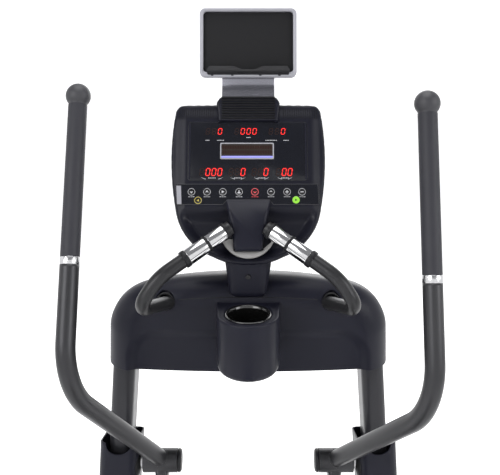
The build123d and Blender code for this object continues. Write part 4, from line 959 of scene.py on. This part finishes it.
def build_tongue():
    """Raised tongue over the trough and the pale trim round its foot."""
    half = [(45.0, -31.0), (43.5, -46.0), (31.0, -112.0), (29.0, -131.0), (24.0, -137.0)]
    shape = np.array(half + [(-x, up) for x, up in half[::-1]])
    rim = evenly(shape, 160, closed=True)
    levels = [(-14.0, 0.0)] + [(15.5 + 8 * sin(a), 8 * (1 - cos(a)))
                               for a in np.linspace(0, pi / 2, 6)]
    middle = rim.mean(0)
    rows = []
    for height, inset in levels:
        ring = middle + (rim - middle) * (1 - inset / np.linalg.norm(rim - middle, axis=1,
                                                                     keepdims=True))
        slope = smooth((-26 - ring[:, 1]) / 36)
        rows.append(on_console(ring[:, 0], ring[:, 1], np.minimum(height, 1 + height * slope)))
    tongue = grid_piece("console_tongue", np.stack(rows), wrap_cols=True, cap_ends=True)
    settle(tongue, "shell")

    outer = arc3((-53, -112), (0, -150.5), (53, -112), 60)
    inner = rounded_path([(-30, -112), (-30, -124), (-30, -137), (30, -137), (30, -124),
                          (30, -112)], [2, 5, 5, 2], 10)
    outer, inner = evenly(outer, 80), evenly(inner, 80)
    rows = []
    for share, height in ((0.0, -14.0), (0.0, 2.2), (0.08, 3.6), (0.9, 3.8), (1.0, 2.6),
                          (1.0, -14.0)):
        ring = outer + (inner - outer) * share
        rows.append(on_console(ring[:, 0], ring[:, 1], height))
    trim = grid_piece("tongue_trim", np.stack(rows), wrap_rows=True)
    settle(trim, "trim", replaces=("console_trim",))


# ---- rack ------------------------------------------------------------------------------
def build_rack():
    """Rack: rings of a rounded rectangle make the frame, a shallow tray fills it, a bent
    lip crosses its foot, and a curved sheet carries it."""
    count = 200
    outer = evenly(rounded_rect(202, 145, 12), count, closed=True) + (0, 72.5)
    inner = evenly(rounded_rect(187.4, 127.2, 7), count, closed=True) + (0, 74.1)
    rings = [(-16.0, 0.04), (-13.0, 0.0), (-3.0, 0.0), (-0.8, 0.14), (0.0, 0.4),
             (-0.3, 0.8), (-1.6, 1.0), (-9.5, 1.0)]
    rows = [on_rack(*(outer + (inner - outer) * share).T, height)
            for height, share in rings]
    frame_ring = grid_piece("rack_surround", np.stack(rows), wrap_cols=True)
    rear = grid_piece("rack_rear", np.stack(
        [on_rack(*(outer * 0.96 + (0, 2.84)).T, -16.3), on_rack(*outer.T, -15.0),
         on_rack(*(outer * 0.99 + (0, 0.7)).T, -12.0)]), wrap_cols=True, cap_ends=True)
    settle(rear, "black")
    settle(frame_ring, "silver", replaces=("rack_frame",))
    pad = slab("rack_tray", inner * 1.002 - (0, 0.15), -12.0, -8.2, on_rack, 1.2)
    settle(pad, "pad")

    x = np.linspace(-86, 86, 140)
    dip = 7.0 * (1 - smooth((np.abs(x) - 10) / 24))
    ends = 6.0 * smooth((np.abs(x) - 80) / 6)
    top = 21.5 - dip - ends
    path = [(-8.0, 9.0, 0), (-4.0, 8.5, 0), (3.0, 8.5, 0), (8.0, 10.5, 0.25), (8.8, 0, 1.0),
            (7.2, 0, 1.02), (6.2, 11.8, 0.3), (2.0, 10.2, 0), (-8.0, 10.6, 0)]
    rows = [on_rack(x, base + (top - base) * share if share < 0.99 else top * share, out)
            for out, base, share in path]
    lip = grid_piece("rack_lip_bar", np.stack(rows), wrap_rows=True)
    bevel(lip, 0.5, 2, 40)
    settle(lip, "lip", replaces=("rack_lip",))
    slot_shape = even_rect(171, 5.0, 2, 90) + (0, 7.2)
    settle(slab("rack_slot", slot_shape, -6.0, 0.6, on_rack, 0.4), "black")
    clips = [rounded_rect(5.5, 4.0, 1.2, 3) + (x0, 4.6) for x0 in (-75.0, -33.0, 25.0, 65.0)]
    settle(decals("rack_clips", clips, on_rack, 0.2, 0.6), "black")

    low = on_console(0, 136, -9)[1:] / MM
    out_of = on_console(0, 178, -9)[1:] / MM
    join = on_rack(0, 0, -16)[1:] / MM
    high = on_rack(0, 60, -16)[1:] / MM
    line = rounded_path([low, out_of, join + (1.5, -16), high], [24, 24], 16)
    line = evenly(line, 90)
    path = np.column_stack([np.zeros(len(line)), line]) * MM
    side = np.array([1.0, 0, 0])
    tangent = unit(np.gradient(path, axis=0))
    normal = unit(np.cross(side, tangent))
    section = rounded_rect(110 * MM, 3 * MM, 1.2 * MM, 4)
    grid = path[:, None] + section[None, :, :1] * side + section[None, :, 1:] * normal[:, None]
    sheet = grid_piece("rack_bracket_sheet", grid, wrap_cols=True, cap_ends=True)
    settle(sheet, "sheet", replaces=("rack_bracket",))


# ---- fixed bars ------------------------------------------------------------------------
def mirrored(points, sign):
    """Points on the right, or their mirror image on the left."""
    return np.asarray(points, float) * (sign, 1, 1)


def build_fixed_bars(sizes):
    """Bent handlebars: a circle carried along runs joined by arcs, with the sensor grip's
    sleeve, collars and plates as lathe shapes round the first run."""
    bar_end_y = 640.0
    run = unit(BAR_HOLE - BAR_TURN)
    end = BAR_HOLE + run * (bar_end_y - BAR_HOLE[1]) / run[1]
    first = rounded_path([GRIP_START, BAR_KNEE, BAR_TURN, end], [90, 30], 26)
    line = evenly(first, 150)
    radius = sizes.bar_diameter / 2 / MM
    along = unit(BAR_KNEE - GRIP_START)
    for side, sign in SIDES:
        path = mirrored(line, sign) * MM
        bar = tube_piece(f"{side}_fixed_bar", path, circle(radius * MM), up=(0, 1, 0.3))
        replaced = ("fixed_bars", "sensor_grips", "sensor_plates") if sign > 0 else ()
        settle(bar, "bar_paint", replaces=replaced)
        origin = mirrored(GRIP_START, sign) * MM
        axis = along * (sign, 1, 1)
        sleeve = radius + 1.2
        cuff = sleeve + 1.9
        rings = [((8, 16), "inner"), ((54, 60), "middle"), ((104, 114), "outer")]
        for (a, b), word in rings:
            profile = soft_corners([(radius - 0.5, a), (cuff, a), (cuff + 0.3, (a + b) / 2),
                                    (cuff, b), (radius - 0.5, b)], 1.2)
            collar = turned(f"{side}_{word}_collar", profile, origin, axis)
            settle(collar, "black")
        for (a, b), word in (((16, 54), "inner"), ((60, 104), "outer")):
            profile = soft_corners([(radius, a), (sleeve + 1.1, a), (sleeve + 1.1, b),
                                    (radius, b)], 0.6)
            plate = turned(f"{side}_{word}_plate", profile, origin, axis)
            settle(plate, "chrome")
            t = np.linspace(a + 0.5, b - 0.5, 12)
            upward = unit(np.cross(np.cross(axis, (0, 0, 1)), axis))
            for edge, lift in (("upper", 1), ("lower", -1)):
                fwd = unit(np.cross(axis, (0, 0, 1))) * lift * sign
                seam = origin + axis * (t * MM)[:, None] + fwd * (sleeve + 0.9) * MM
                slit = tube_piece(f"{side}_{word}_{edge}_slit", seam, SEAM_SECTION, up=upward)
                settle(slit, "black")


# ---- swing arms ------------------------------------------------------------------------
def swung(points, sign):
    """Points of the right arm at mid swing, mirrored for the left arm and turned about the
    pivot by the rest angle: y cos a - z sin a, y sin a + z cos a."""
    points = mirrored(points, sign) - PIVOT
    a = REST_SWING * sign
    y = points[..., 1] * cos(a) - points[..., 2] * sin(a)
    z = points[..., 1] * sin(a) + points[..., 2] * cos(a)
    return (np.stack([points[..., 0], y, z], -1) + PIVOT) * MM


def swung_axis(axis, sign):
    """A direction of the right arm, mirrored and turned in the same way."""
    return unit(swung(np.asarray(axis) + PIVOT, sign) - swung(PIVOT, sign))


def build_arms(sizes):
    """Arm tube with a bend, its grip, ring and round end, the sleeve at its pivot with a
    weld and a dome, and the hanger bar down to the pedal arm's hinge."""
    shaft = sizes.grip_diameter / 2 / MM
    ball = sizes.ball_diameter / 2 / MM
    band_low, band_high = RING_ALONG - BAND_HALF, RING_ALONG + BAND_HALF
    top = ELBOW + GRIP_UP * band_low
    line = evenly(rounded_path([ARM_ROOT, ELBOW, top], [ARM_BEND], 40), 130)
    for side, sign in SIDES:
        body = f"{side}_arm"
        tube = tube_piece(f"{side}_arm_tube", swung(line, sign), circle(shaft * MM),
                          up=(0, 1, -0.5))
        settle(tube, "arm_paint", body, replaces=(f"{side}_arm",))
        axis = swung_axis(GRIP_UP, sign)
        foot = swung(ELBOW, sign)
        ring = soft_corners([(15, band_low), (shaft + 0.1, band_low),
                             (shaft + 0.6, RING_ALONG), (shaft + 0.1, band_high),
                             (15, band_high)], 0.8)
        settle(turned(f"{side}_grip_band", ring, foot, axis, 64), "ring", body,
               replaces=(f"{side}_grip_ring",))
        low, high = band_high, BALL_ALONG - 19
        rubber = [(15, low), (shaft - 0.8, low), (shaft, low + 1.5), (shaft, high - 1),
                  (shaft - 0.4, high), (15, high)]
        settle(turned(f"{side}_grip_sleeve", soft_corners(rubber, 1.0), foot, axis, 64),
               "grip", body, replaces=(f"{side}_grip",))
        t = np.linspace(-pi / 2 + 0.86, pi / 2, 26)
        knob = [(12, high - 2), (shaft - 0.9, high - 2), (shaft - 0.3, high - 0.8),
                (shaft - 0.6, high + 0.6)]
        knob += [(max(ball * cos(a), 0.01), BALL_ALONG + ball * sin(a)) for a in t]
        settle(turned(f"{side}_grip_knob", np.array(knob), foot, axis, 64), "knob", body,
               replaces=(f"{side}_grip_cap",))

        spot = mirrored(PIVOT, sign) * MM
        out = np.array([sign, 0, 0.0])
        a, b = SLEEVE_SPAN
        sleeve = soft_corners([(SLEEVE_BORE, a), (SLEEVE_RADIUS - 0.8, a),
                               (SLEEVE_RADIUS, a + 0.8), (SLEEVE_RADIUS, b - 0.8),
                               (SLEEVE_RADIUS - 0.8, b), (SLEEVE_BORE, b)], 0.6)
        settle(turned(f"{side}_pivot_sleeve", sleeve, spot, out, 64), "arm_paint", body)
        outline = rounded_rect(28, 48, 8)
        heights = np.linspace(PIVOT[2] - HANGER_LENGTH, PIVOT[2], 12)
        hanger = np.stack([np.column_stack([outline[:, 0] + HANGER_X, outline[:, 1] + PIVOT[1],
                                            np.full(len(outline), z)]) for z in heights])
        bar = grid_piece(f"{side}_hanger_bar", swung(hanger, sign), wrap_cols=True,
                         cap_ends=True)
        settle(bar, "arm_paint", body)
        hinge = swung(np.array([HANGER_X, PIVOT[1], PIVOT[2] - HANGER_LENGTH]), sign)
        boss = soft_corners([(HINGE_BORE, -18), (26, -18), (27, -17), (27, 17), (26, 18),
                             (HINGE_BORE, 18)], 0.8)
        settle(turned(f"{side}_hanger_boss", boss, hinge, out, 64), "arm_paint", body)
        way = unit(ELBOW - ARM_ROOT)
        t = np.linspace(0, 2 * pi, 72, endpoint=False)
        u = unit(np.cross(way, (1, 0, 0)))
        v = np.cross(way, u)
        around = np.cos(t)[:, None] * u + np.sin(t)[:, None] * v
        start_pts = ARM_ROOT + shaft * around
        lift = np.linspace(0, 60, 121)
        rays = start_pts[:, None] + lift[None, :, None] * way
        outside = np.hypot(rays[..., 1] - PIVOT[1], rays[..., 2] - PIVOT[2]) > SLEEVE_RADIUS
        first_out = np.argmax(outside, axis=1)
        loop = start_pts + lift[first_out][:, None] * way
        loop = np.vstack([loop, loop[:1]])
        bead = carried(swung(loop, sign), circle(1.8 * MM, 10), up=(0.3, 1, 0.2))
        weld = grid_piece(f"{side}_arm_weld", bead[:-1], wrap_rows=True, wrap_cols=True)
        settle(weld, "arm_paint", body)

        cap = [(0.01, a - 10.0)] + [(26.3 - 7 * (1 - sin(q)), a - 3.6 - 6.0 * cos(q))
                                    for q in np.linspace(0.1, pi / 2, 12)]
        cap += [(26.3, a - 1.6), (24.0, a - 0.8), (0.01, a - 0.8)]
        settle(turned(f"{side}_pivot_dome", np.array(cap), spot, out, 64), "black",
               replaces=("pivot_caps",) if sign > 0 else ())


# ---- base, pedals and housing ----------------------------------------------------------
NODE_FINISHES = {
    "paint": ("base_spine", "front_stabilizer", "rear_stabilizer", "left_pedal_arm",
              "right_pedal_arm", "left_crank", "right_crank", "top_crossbar",
              "console_mast", "drive_frame", "brake_yoke"),
    "housing": ("left_drive_cover", "right_drive_cover"),
    "black": ("resistance_motor",),
    "steel": ("pivot_shafts", "crank_axle", "flywheel_axle", "crank_bearings",
              "left_hinge_pin", "right_hinge_pin"),
    "screw": ("fasteners",),
    "iron": ("flywheel",),
    "rubber": ("drive_belt",),
    "nylon": ("left_arm_bushes", "right_arm_bushes", "drive_pulley"),
    "board": ("console_board",),
}


def finish_nodes():
    """Gives every CAD node that stays in view its own finish."""
    for finish, names in NODE_FINISHES.items():
        for name in names:
            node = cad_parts[name]
            node.data.materials.clear()
            node.data.materials.append(finishes[finish])


def post_x(z):
    """Distance of a post's centre from the middle plane at a height."""
    return LEAN_X - (np.asarray(z, float) - LEAN_Z) * LEAN_RATE


def leaning(outline, z, sign):
    """An outline carried to a height, or to a height for each point, on a leaning post."""
    return stacked(sign * (outline[:, 0] + post_x(z)), outline[:, 1] + POST_Y, z)


def build_posts():
    """Leaning posts with the welds at their feet, the arms' boots, and the covers round the
    pivots: each ring of a cover rises by a share of the way to its rim, which dips in a
    half circle in front and falls away behind."""
    fall_start, fall_run, foot_round = -57.0, 127.0, 6.0
    post = even_rect(50, 100, 15, 96)
    wide = even_rect(86, 138, 18, 240)
    near = even_rect(51, 101, 15, 240)
    for side, sign in SIDES:
        rows = [leaning(post, z, sign) for z in np.linspace(POST_FOOT, POST_TOP, 30)]
        piece = grid_piece(f"{side}_post", np.stack(rows), wrap_cols=True, cap_ends=True)
        settle(piece, "paint", replaces=(f"{side}_upright",))
        seam = even_rect(56, 106, 16, 96)
        rows = [leaning(seam * share, POST_FOOT + lift, sign)
                for share, lift in ((1.0, 0), (1.0, 1.5), (0.985, 3), (0.95, 4))]
        weld = grid_piece(f"{side}_post_weld", np.stack(rows), wrap_cols=True)
        settle(weld, "paint")
        fall = np.clip((wide[:, 1] - fall_start) / fall_run, 0, 1)
        rim = COVER_TOP - (COVER_TOP - COVER_BACK_TOP) * fall
        notch = np.sqrt(np.clip(NOTCH_RADIUS ** 2 - wide[:, 0] ** 2, 0, None))
        rim = np.where(wide[:, 1] < -60, rim - notch * smooth((-wide[:, 1] - 60) / 6), rim)
        rows = []
        for share, lift in ((0.0, 0.0), (0.75, 0.0), (0.93, 1.5), (1.0, foot_round)):
            ring = near + (wide - near) * share
            rows.append(leaning(ring, COVER_BOTTOM + lift, sign))
        foot = COVER_BOTTOM + foot_round
        for share in np.linspace(0.02, 1, 30):
            rows.append(leaning(wide, foot + (rim - foot) * share, sign))
        cover = grid_piece(f"{side}_pivot_cover", np.stack(rows), wrap_cols=True,
                           flip=sign < 0)
        modifier(cover, "SOLIDIFY", thickness=3 * MM, offset=-1)
        bevel(cover, 0.9, 2, 50)
        settle(cover, "shell",
               replaces=("pivot_covers",) if sign > 0 else ())
        boot = soft_corners([(13, 246), (20, 246), (31, 249.5), (34, 251.5), (34, 255),
                             (13, 255)], 1.5)
        settle(turned(f"{side}_pivot_boot", boot, mirrored(PIVOT, sign) * MM,
                      (sign, 0, 0), 64), "rubber")


def pedal_places():
    """Lower hinge and slope of both pedal arms at rest: the four-bar closure solves
    a sin t - b cos t = c for the crank's lean t, then each arm runs from its hinge to its
    crank pin."""
    lower_up = PIVOT[2] - HANGER_LENGTH * cos(REST_SWING)
    shift = HANGER_LENGTH * sin(REST_SWING)
    reach = {sign: PIVOT[1] + sign * shift - CRANK_Y for sign in (1, -1)}
    drop = CRANK_Z - lower_up
    total = reach[1] + reach[-1]
    side, height = 2 * CRANK_RADIUS * total, 4 * CRANK_RADIUS * drop
    lean = (asin((reach[1] - reach[-1]) * total / hypot(side, height))
            + atan2(height, side))
    pin = CRANK_RADIUS * np.array([sin(lean), cos(lean)])
    return {sign: (PIVOT[1] + sign * shift, lower_up,
                   atan2(drop + sign * pin[1], reach[sign] - sign * pin[0]))
            for sign in (1, -1)}


def build_pedals(sizes):
    """Pedal trays with a round rim and tread ribs across their floor."""
    outer = even_rect(170, 380, 40, 200, 12)
    half_size = np.array([85.0, 190.0])
    pedal_x, pedal_along, pedal_lift = 140.0, 470.0, 42.0
    for side, sign in SIDES:
        y0, z0, tilt = pedal_places()[sign]

        def place(x, along, up):
            x, along, up = np.broadcast_arrays(*(np.asarray(a, float) for a in (x, along, up)))
            along = along - pedal_along
            up = up + pedal_lift
            y = along * cos(tilt) + up * sin(tilt)
            z = -along * sin(tilt) + up * cos(tilt)
            return stacked(sign * (x + pedal_x), y + y0, z + z0)

        rows = []
        for inset, up in ((8, 0), (3, 0.6), (0.8, 2.4), (0, 5), (0, 20), (0.7, 22.6), (2.4, 24),
                          (4.6, 24), (6.0, 22.8), (6.6, 20), (7.2, 8.5), (8.6, 6.6), (11, 6.0)):
            ring = outer * (half_size - inset) / half_size
            rows.append(place(ring[:, 0], ring[:, 1], up))
        tray = grid_piece(f"{side}_pedal_tray", np.stack(rows), wrap_cols=True, cap_ends=True)
        settle(tray, "tread", f"{side}_pedal_arm",
               replaces=(f"{side}_pedal",))
        ribs = []
        for along in np.linspace(-152, 152, sizes.tread_count):
            rib_half = 62.0 - 20.0 * smooth((abs(along) - 118) / 40)
            ribs.append(rounded_rect(2 * rib_half, 5.0, 2.4, 5) + (0, along))
        tread = decals(f"{side}_pedal_ribs", ribs, place, 5.5, 2.6)
        bevel(tread, 0.9, 2, 50)
        settle(tread, "rubber", f"{side}_pedal_arm")


def build_base():
    """Levelling feet, transport wheels, end caps and the details of the drive housing."""
    shoe_x = float(post_x(POST_FOOT))
    shoe_rear, shoe_front, inset = 545.0, 800.0, 35.0
    rear_y, rear_foot_x, rear_half = -845.0, 240.0, 268.6
    wheel_y, wheel_z = 843.0, 36.0
    vent_y, vent_step, vent_z = -742.0, 22.0, 210.0
    spots = [(sign * shoe_x, y) for sign in (-1, 1)
             for y in (shoe_rear + inset, shoe_front - inset)]
    spots += [(sign * rear_foot_x, rear_y) for sign in (-1, 1)]
    pad = soft_corners([(0.01, 0.2), (20.5, 0.2), (23, 2.5), (22.6, 9), (17, 13.5), (9, 14),
                        (8.8, 16), (0.01, 16)], 1.5)
    stud = soft_corners([(0.01, 14), (10.5, 14), (10.5, 18.5), (7, 19), (7, 20), (0.01, 20)],
                        0.4)
    for k, (x, y) in enumerate(spots, 1):
        foot = turned(f"foot_pad_{k}", pad, np.array([x, y, 0]) * MM, (0, 0, 1), 64)
        settle(foot, "rubber",
               replaces=("levelling_feet",) if k == 1 else ())
        nut = turned(f"foot_nut_{k}", stud, np.array([x, y, 0]) * MM, (0, 0, 1), 6)
        settle(nut, "steel")
    for side, sign in SIDES:
        hub_spot = np.array([sign * shoe_x, wheel_y, wheel_z]) * MM
        body = f"{side}_transport_wheel"
        tyre = soft_corners([(22.5, -12), (25, -13), (30.5, -12), (32, -9), (32, 9), (30.5, 12),
                             (25, 13), (22.5, 12)], 2.5, 5)
        settle(turned(f"{side}_tyre", tyre, hub_spot,
                      (sign, 0, 0), 72), "rubber", body,
               replaces=(f"{side}_transport_wheel",))
        hub = soft_corners([(5.3, -13), (9.5, -13), (10.5, -9), (19, -7.5), (22, -12),
                            (24, -12), (24, 12), (22, 12), (19, 7.5), (10.5, 9), (9.5, 13),
                            (5.3, 13), (5.3, -13)], 1.0)
        settle(turned(f"{side}_wheel_hub", hub, hub_spot, (sign, 0, 0), 72), "hub", body)
        cap = even_rect(58.6, 58.6, 6, 80)
        for word, place in (
                ("rear", lambda a, b, h: stacked(sign * (rear_half + h), rear_y + a,
                                                 FOOT_TUBE_Z + b)),
                ("shoe", lambda a, b, h: stacked(sign * shoe_x + a, shoe_rear + 1.0 - h,
                                                 FOOT_TUBE_Z + b))):
            plug = slab(f"{side}_{word}_plug", cap, -1.0, 1.3, place, 1.0)
            settle(plug, "black")
        ring = soft_corners([(20.7, 111.5), (20.7, 114.6), (23, 116.2), (33, 116.2), (37, 113.4),
                             (37, 111.5), (20.7, 111.5)], 1.0)
        collar = turned(f"{side}_axle_collar", ring,
                        np.array([0, CRANK_Y, CRANK_Z]) * MM, (sign, 0, 0), 72)
        settle(collar, "black")
        slots = [rounded_rect(9, 74 - 5 * abs(k - 2.5), 4.4, 5) + (vent_y + vent_step * k, vent_z)
                 for k in range(6)]
        vents = decals(f"{side}_housing_vents", slots,
                       lambda a, b, h: stacked(sign * (HOUSING_HALF + h), a, b), 0.0, 0.2)
        settle(vents, "matte")
        screws = ((-700.0, 130.0), (-330.0, 150.0), (-640.0, 420.0), (-400.0, 470.0))
        for k, (y, z) in enumerate(screws, 1):
            head = soft_corners([(0.01, 0.2), (2.2, 0.2), (2.8, 1.2), (5.0, 1.2), (6.0, 0.4),
                                 (6.0, -1.0), (0.01, -1.0)], 0.4)
            piece = turned(f"{side}_housing_screw_{k}", head,
                           np.array([sign * 115.0, y, z]) * MM, (sign, 0, 0), 32)
            settle(piece, "screw")


def build_stage():
    """Pale floor that curves up all round, soft lamps and the camera."""
    world = bpy.data.worlds.new("studio")
    world.use_nodes = True
    sky = world.node_tree.nodes["Background"]
    sky.inputs["Color"].default_value = (0.96, 0.97, 1.0, 1)
    sky.inputs["Strength"].default_value = 0.35
    bpy.context.scene.world = world
    bpy.context.scene.view_settings.view_transform = "Standard"
    t = np.linspace(0, pi / 2, 16)
    flat, bend, wall = 9.0, 5.0, 9.0            # metres
    gap_below = 0.5                             # millimetres from the floor to the feet
    bowl = np.vstack([[[0.01, 0], [flat / 3, 0], [flat * 2 / 3, 0]],
                      np.stack([flat + bend * np.sin(t), bend * (1 - np.cos(t))], -1),
                      [[flat + bend, wall]]])
    floor = turned("floor", bowl / MM - (0, gap_below), np.zeros(3), (0, 0, 1), 96)
    pale, bsdf = shader("pale_floor", (0.90, 0.90, 0.905), 0.75)
    tinted(pale, bsdf, noise(pale, coords(pale), 3.0), (0.895,) * 3, (0.91,) * 3)
    bsdf.inputs["Emission Color"].default_value = (1, 1, 1, 1)
    bsdf.inputs["Emission Strength"].default_value = 0.46
    floor.data.materials.append(pale)
    lamps = (("key_lamp", (-2.6, -2.2, 3.2), (0.1, 0.6, 1.3), 2.4, 75.0),
             ("side_lamp", (3.2, -1.2, 2.6), (0.0, 0.6, 1.2), 2.0, 45.0),
             ("top_lamp", (0.0, 0.9, 4.4), (0.0, 0.6, 1.2), 2.6, 85.0),
             ("back_lamp", (0.6, 3.6, 2.2), (0.0, 0.6, 1.4), 2.4, 40.0))
    for name, place, aim, size, power in lamps:
        light = bpy.data.lights.new(name, "AREA")
        light.size, light.energy = size, power
        lamp = bpy.data.objects.new(name, light)
        lamp.location = place
        lamp.rotation_euler = (Vector(aim) - Vector(place)).to_track_quat("-Z", "Y").to_euler()
        bpy.context.scene.collection.objects.link(lamp)
    view = bpy.data.cameras.new("camera")
    view.sensor_width, view.lens = 36.0, 54.0
    view.shift_x, view.shift_y = 0.0036, -0.093
    camera = bpy.data.objects.new("camera", view)
    camera.location = (0.0, -0.880, 1.807)
    camera.rotation_euler = (radians(75.6), 0, 0)
    bpy.context.scene.collection.objects.link(camera)
    bpy.context.scene.camera = camera


# ---- the add-on ------------------------------------------------------------------------
class TRAINER_OT_finishes(Operator):
    """Makes the finishes and paints the CAD nodes that stay in view"""
    bl_idname = "trainer.finishes"
    bl_label = "Finishes"

    def execute(self, context):
        make_finishes(context.scene.trainer_colours)
        finish_nodes()
        return {"FINISHED"}


class TRAINER_OT_shroud(Operator):
    """Shell over the crossbar, with its seam and bar grommets"""
    bl_idname = "trainer.shroud"
    bl_label = "Shroud"

    def execute(self, context):
        build_shroud(context.scene.trainer_sizes)
        return {"FINISHED"}


class TRAINER_OT_cup(Operator):
    """Cup holder body and its glossy liner"""
    bl_idname = "trainer.cup"
    bl_label = "Cup Holder"

    def execute(self, context):
        build_cup(context.scene.trainer_sizes)
        return {"FINISHED"}


class TRAINER_OT_mast_cover(Operator):
    """Casing between the console and the shroud"""
    bl_idname = "trainer.mast_cover"
    bl_label = "Mast Casing"

    def execute(self, context):
        build_mast_cover()
        return {"FINISHED"}


class TRAINER_OT_console(Operator):
    """Front and back shells of the console"""
    bl_idname = "trainer.console"
    bl_label = "Console Shells"

    def execute(self, context):
        build_console_shell()
        return {"FINISHED"}


class TRAINER_OT_display(Operator):
    """Display window with its screen, digits and marks"""
    bl_idname = "trainer.display"
    bl_label = "Display"

    def execute(self, context):
        build_display()
        build_digits()
        return {"FINISHED"}


class TRAINER_OT_keypad(Operator):
    """Key membrane, keys and signs"""
    bl_idname = "trainer.keypad"
    bl_label = "Keypad"

    def execute(self, context):
        build_keypad()
        return {"FINISHED"}


class TRAINER_OT_vent(Operator):
    """Ribbed vent and dotted grilles of the console"""
    bl_idname = "trainer.vent"
    bl_label = "Vent"

    def execute(self, context):
        build_vent(context.scene.trainer_sizes)
        return {"FINISHED"}


class TRAINER_OT_tongue(Operator):
    """Tongue below the keys and its trim"""
    bl_idname = "trainer.tongue"
    bl_label = "Tongue"

    def execute(self, context):
        build_tongue()
        return {"FINISHED"}


class TRAINER_OT_rack(Operator):
    """Rack, its lip and the sheet that carries it"""
    bl_idname = "trainer.rack"
    bl_label = "Rack"

    def execute(self, context):
        build_rack()
        return {"FINISHED"}


class TRAINER_OT_fixed_bars(Operator):
    """Fixed handlebars and their sensor grips"""
    bl_idname = "trainer.fixed_bars"
    bl_label = "Fixed Bars"

    def execute(self, context):
        build_fixed_bars(context.scene.trainer_sizes)
        return {"FINISHED"}


class TRAINER_OT_arms(Operator):
    """Swinging arms with grips, rings and pivots"""
    bl_idname = "trainer.arms"
    bl_label = "Swing Arms"

    def execute(self, context):
        build_arms(context.scene.trainer_sizes)
        return {"FINISHED"}


class TRAINER_OT_posts(Operator):
    """Leaning posts and the covers of the pivots"""
    bl_idname = "trainer.posts"
    bl_label = "Posts"

    def execute(self, context):
        build_posts()
        return {"FINISHED"}


class TRAINER_OT_pedals(Operator):
    """Pedal trays with tread ribs"""
    bl_idname = "trainer.pedals"
    bl_label = "Pedals"

    def execute(self, context):
        build_pedals(context.scene.trainer_sizes)
        return {"FINISHED"}


class TRAINER_OT_base(Operator):
    """Feet, transport wheels, end caps and housing details"""
    bl_idname = "trainer.base"
    bl_label = "Base"

    def execute(self, context):
        build_base()
        return {"FINISHED"}


class TRAINER_OT_stage(Operator):
    """Floor, lamps and camera"""
    bl_idname = "trainer.stage"
    bl_label = "Stage"

    def execute(self, context):
        build_stage()
        return {"FINISHED"}


STEPS = (TRAINER_OT_stage, TRAINER_OT_finishes, TRAINER_OT_shroud, TRAINER_OT_cup,
         TRAINER_OT_mast_cover, TRAINER_OT_console, TRAINER_OT_display, TRAINER_OT_keypad,
         TRAINER_OT_vent, TRAINER_OT_tongue, TRAINER_OT_rack, TRAINER_OT_fixed_bars,
         TRAINER_OT_arms, TRAINER_OT_posts, TRAINER_OT_pedals, TRAINER_OT_base)


class TRAINER_PT_sidebar(Panel):
    """Lists the trainer's pieces in the sidebar"""
    bl_idname = "TRAINER_PT_sidebar"
    bl_label = "Elliptical Trainer"
    bl_space_type = "VIEW_3D"
    bl_region_type = "UI"
    bl_category = "Trainer"

    def draw(self, context):
        for step in STEPS:
            self.layout.operator(step.bl_idname)
        for group in (context.scene.trainer_sizes, context.scene.trainer_colours):
            for key in group.__annotations__:
                self.layout.prop(group, key)


CLASSES = (TrainerSizes, TrainerColours, *STEPS, TRAINER_PT_sidebar)


def register():
    for each in CLASSES:
        bpy.utils.register_class(each)
    bpy.types.Scene.trainer_sizes = PointerProperty(type=TrainerSizes)
    bpy.types.Scene.trainer_colours = PointerProperty(type=TrainerColours)


def unregister():
    del bpy.types.Scene.trainer_colours
    del bpy.types.Scene.trainer_sizes
    for each in reversed(CLASSES):
        bpy.utils.unregister_class(each)


def main():
    register()
    for step in STEPS:
        group, call = step.bl_idname.split(".")
        getattr(getattr(bpy.ops, group), call)()


if __name__ == "__main__":
    main()
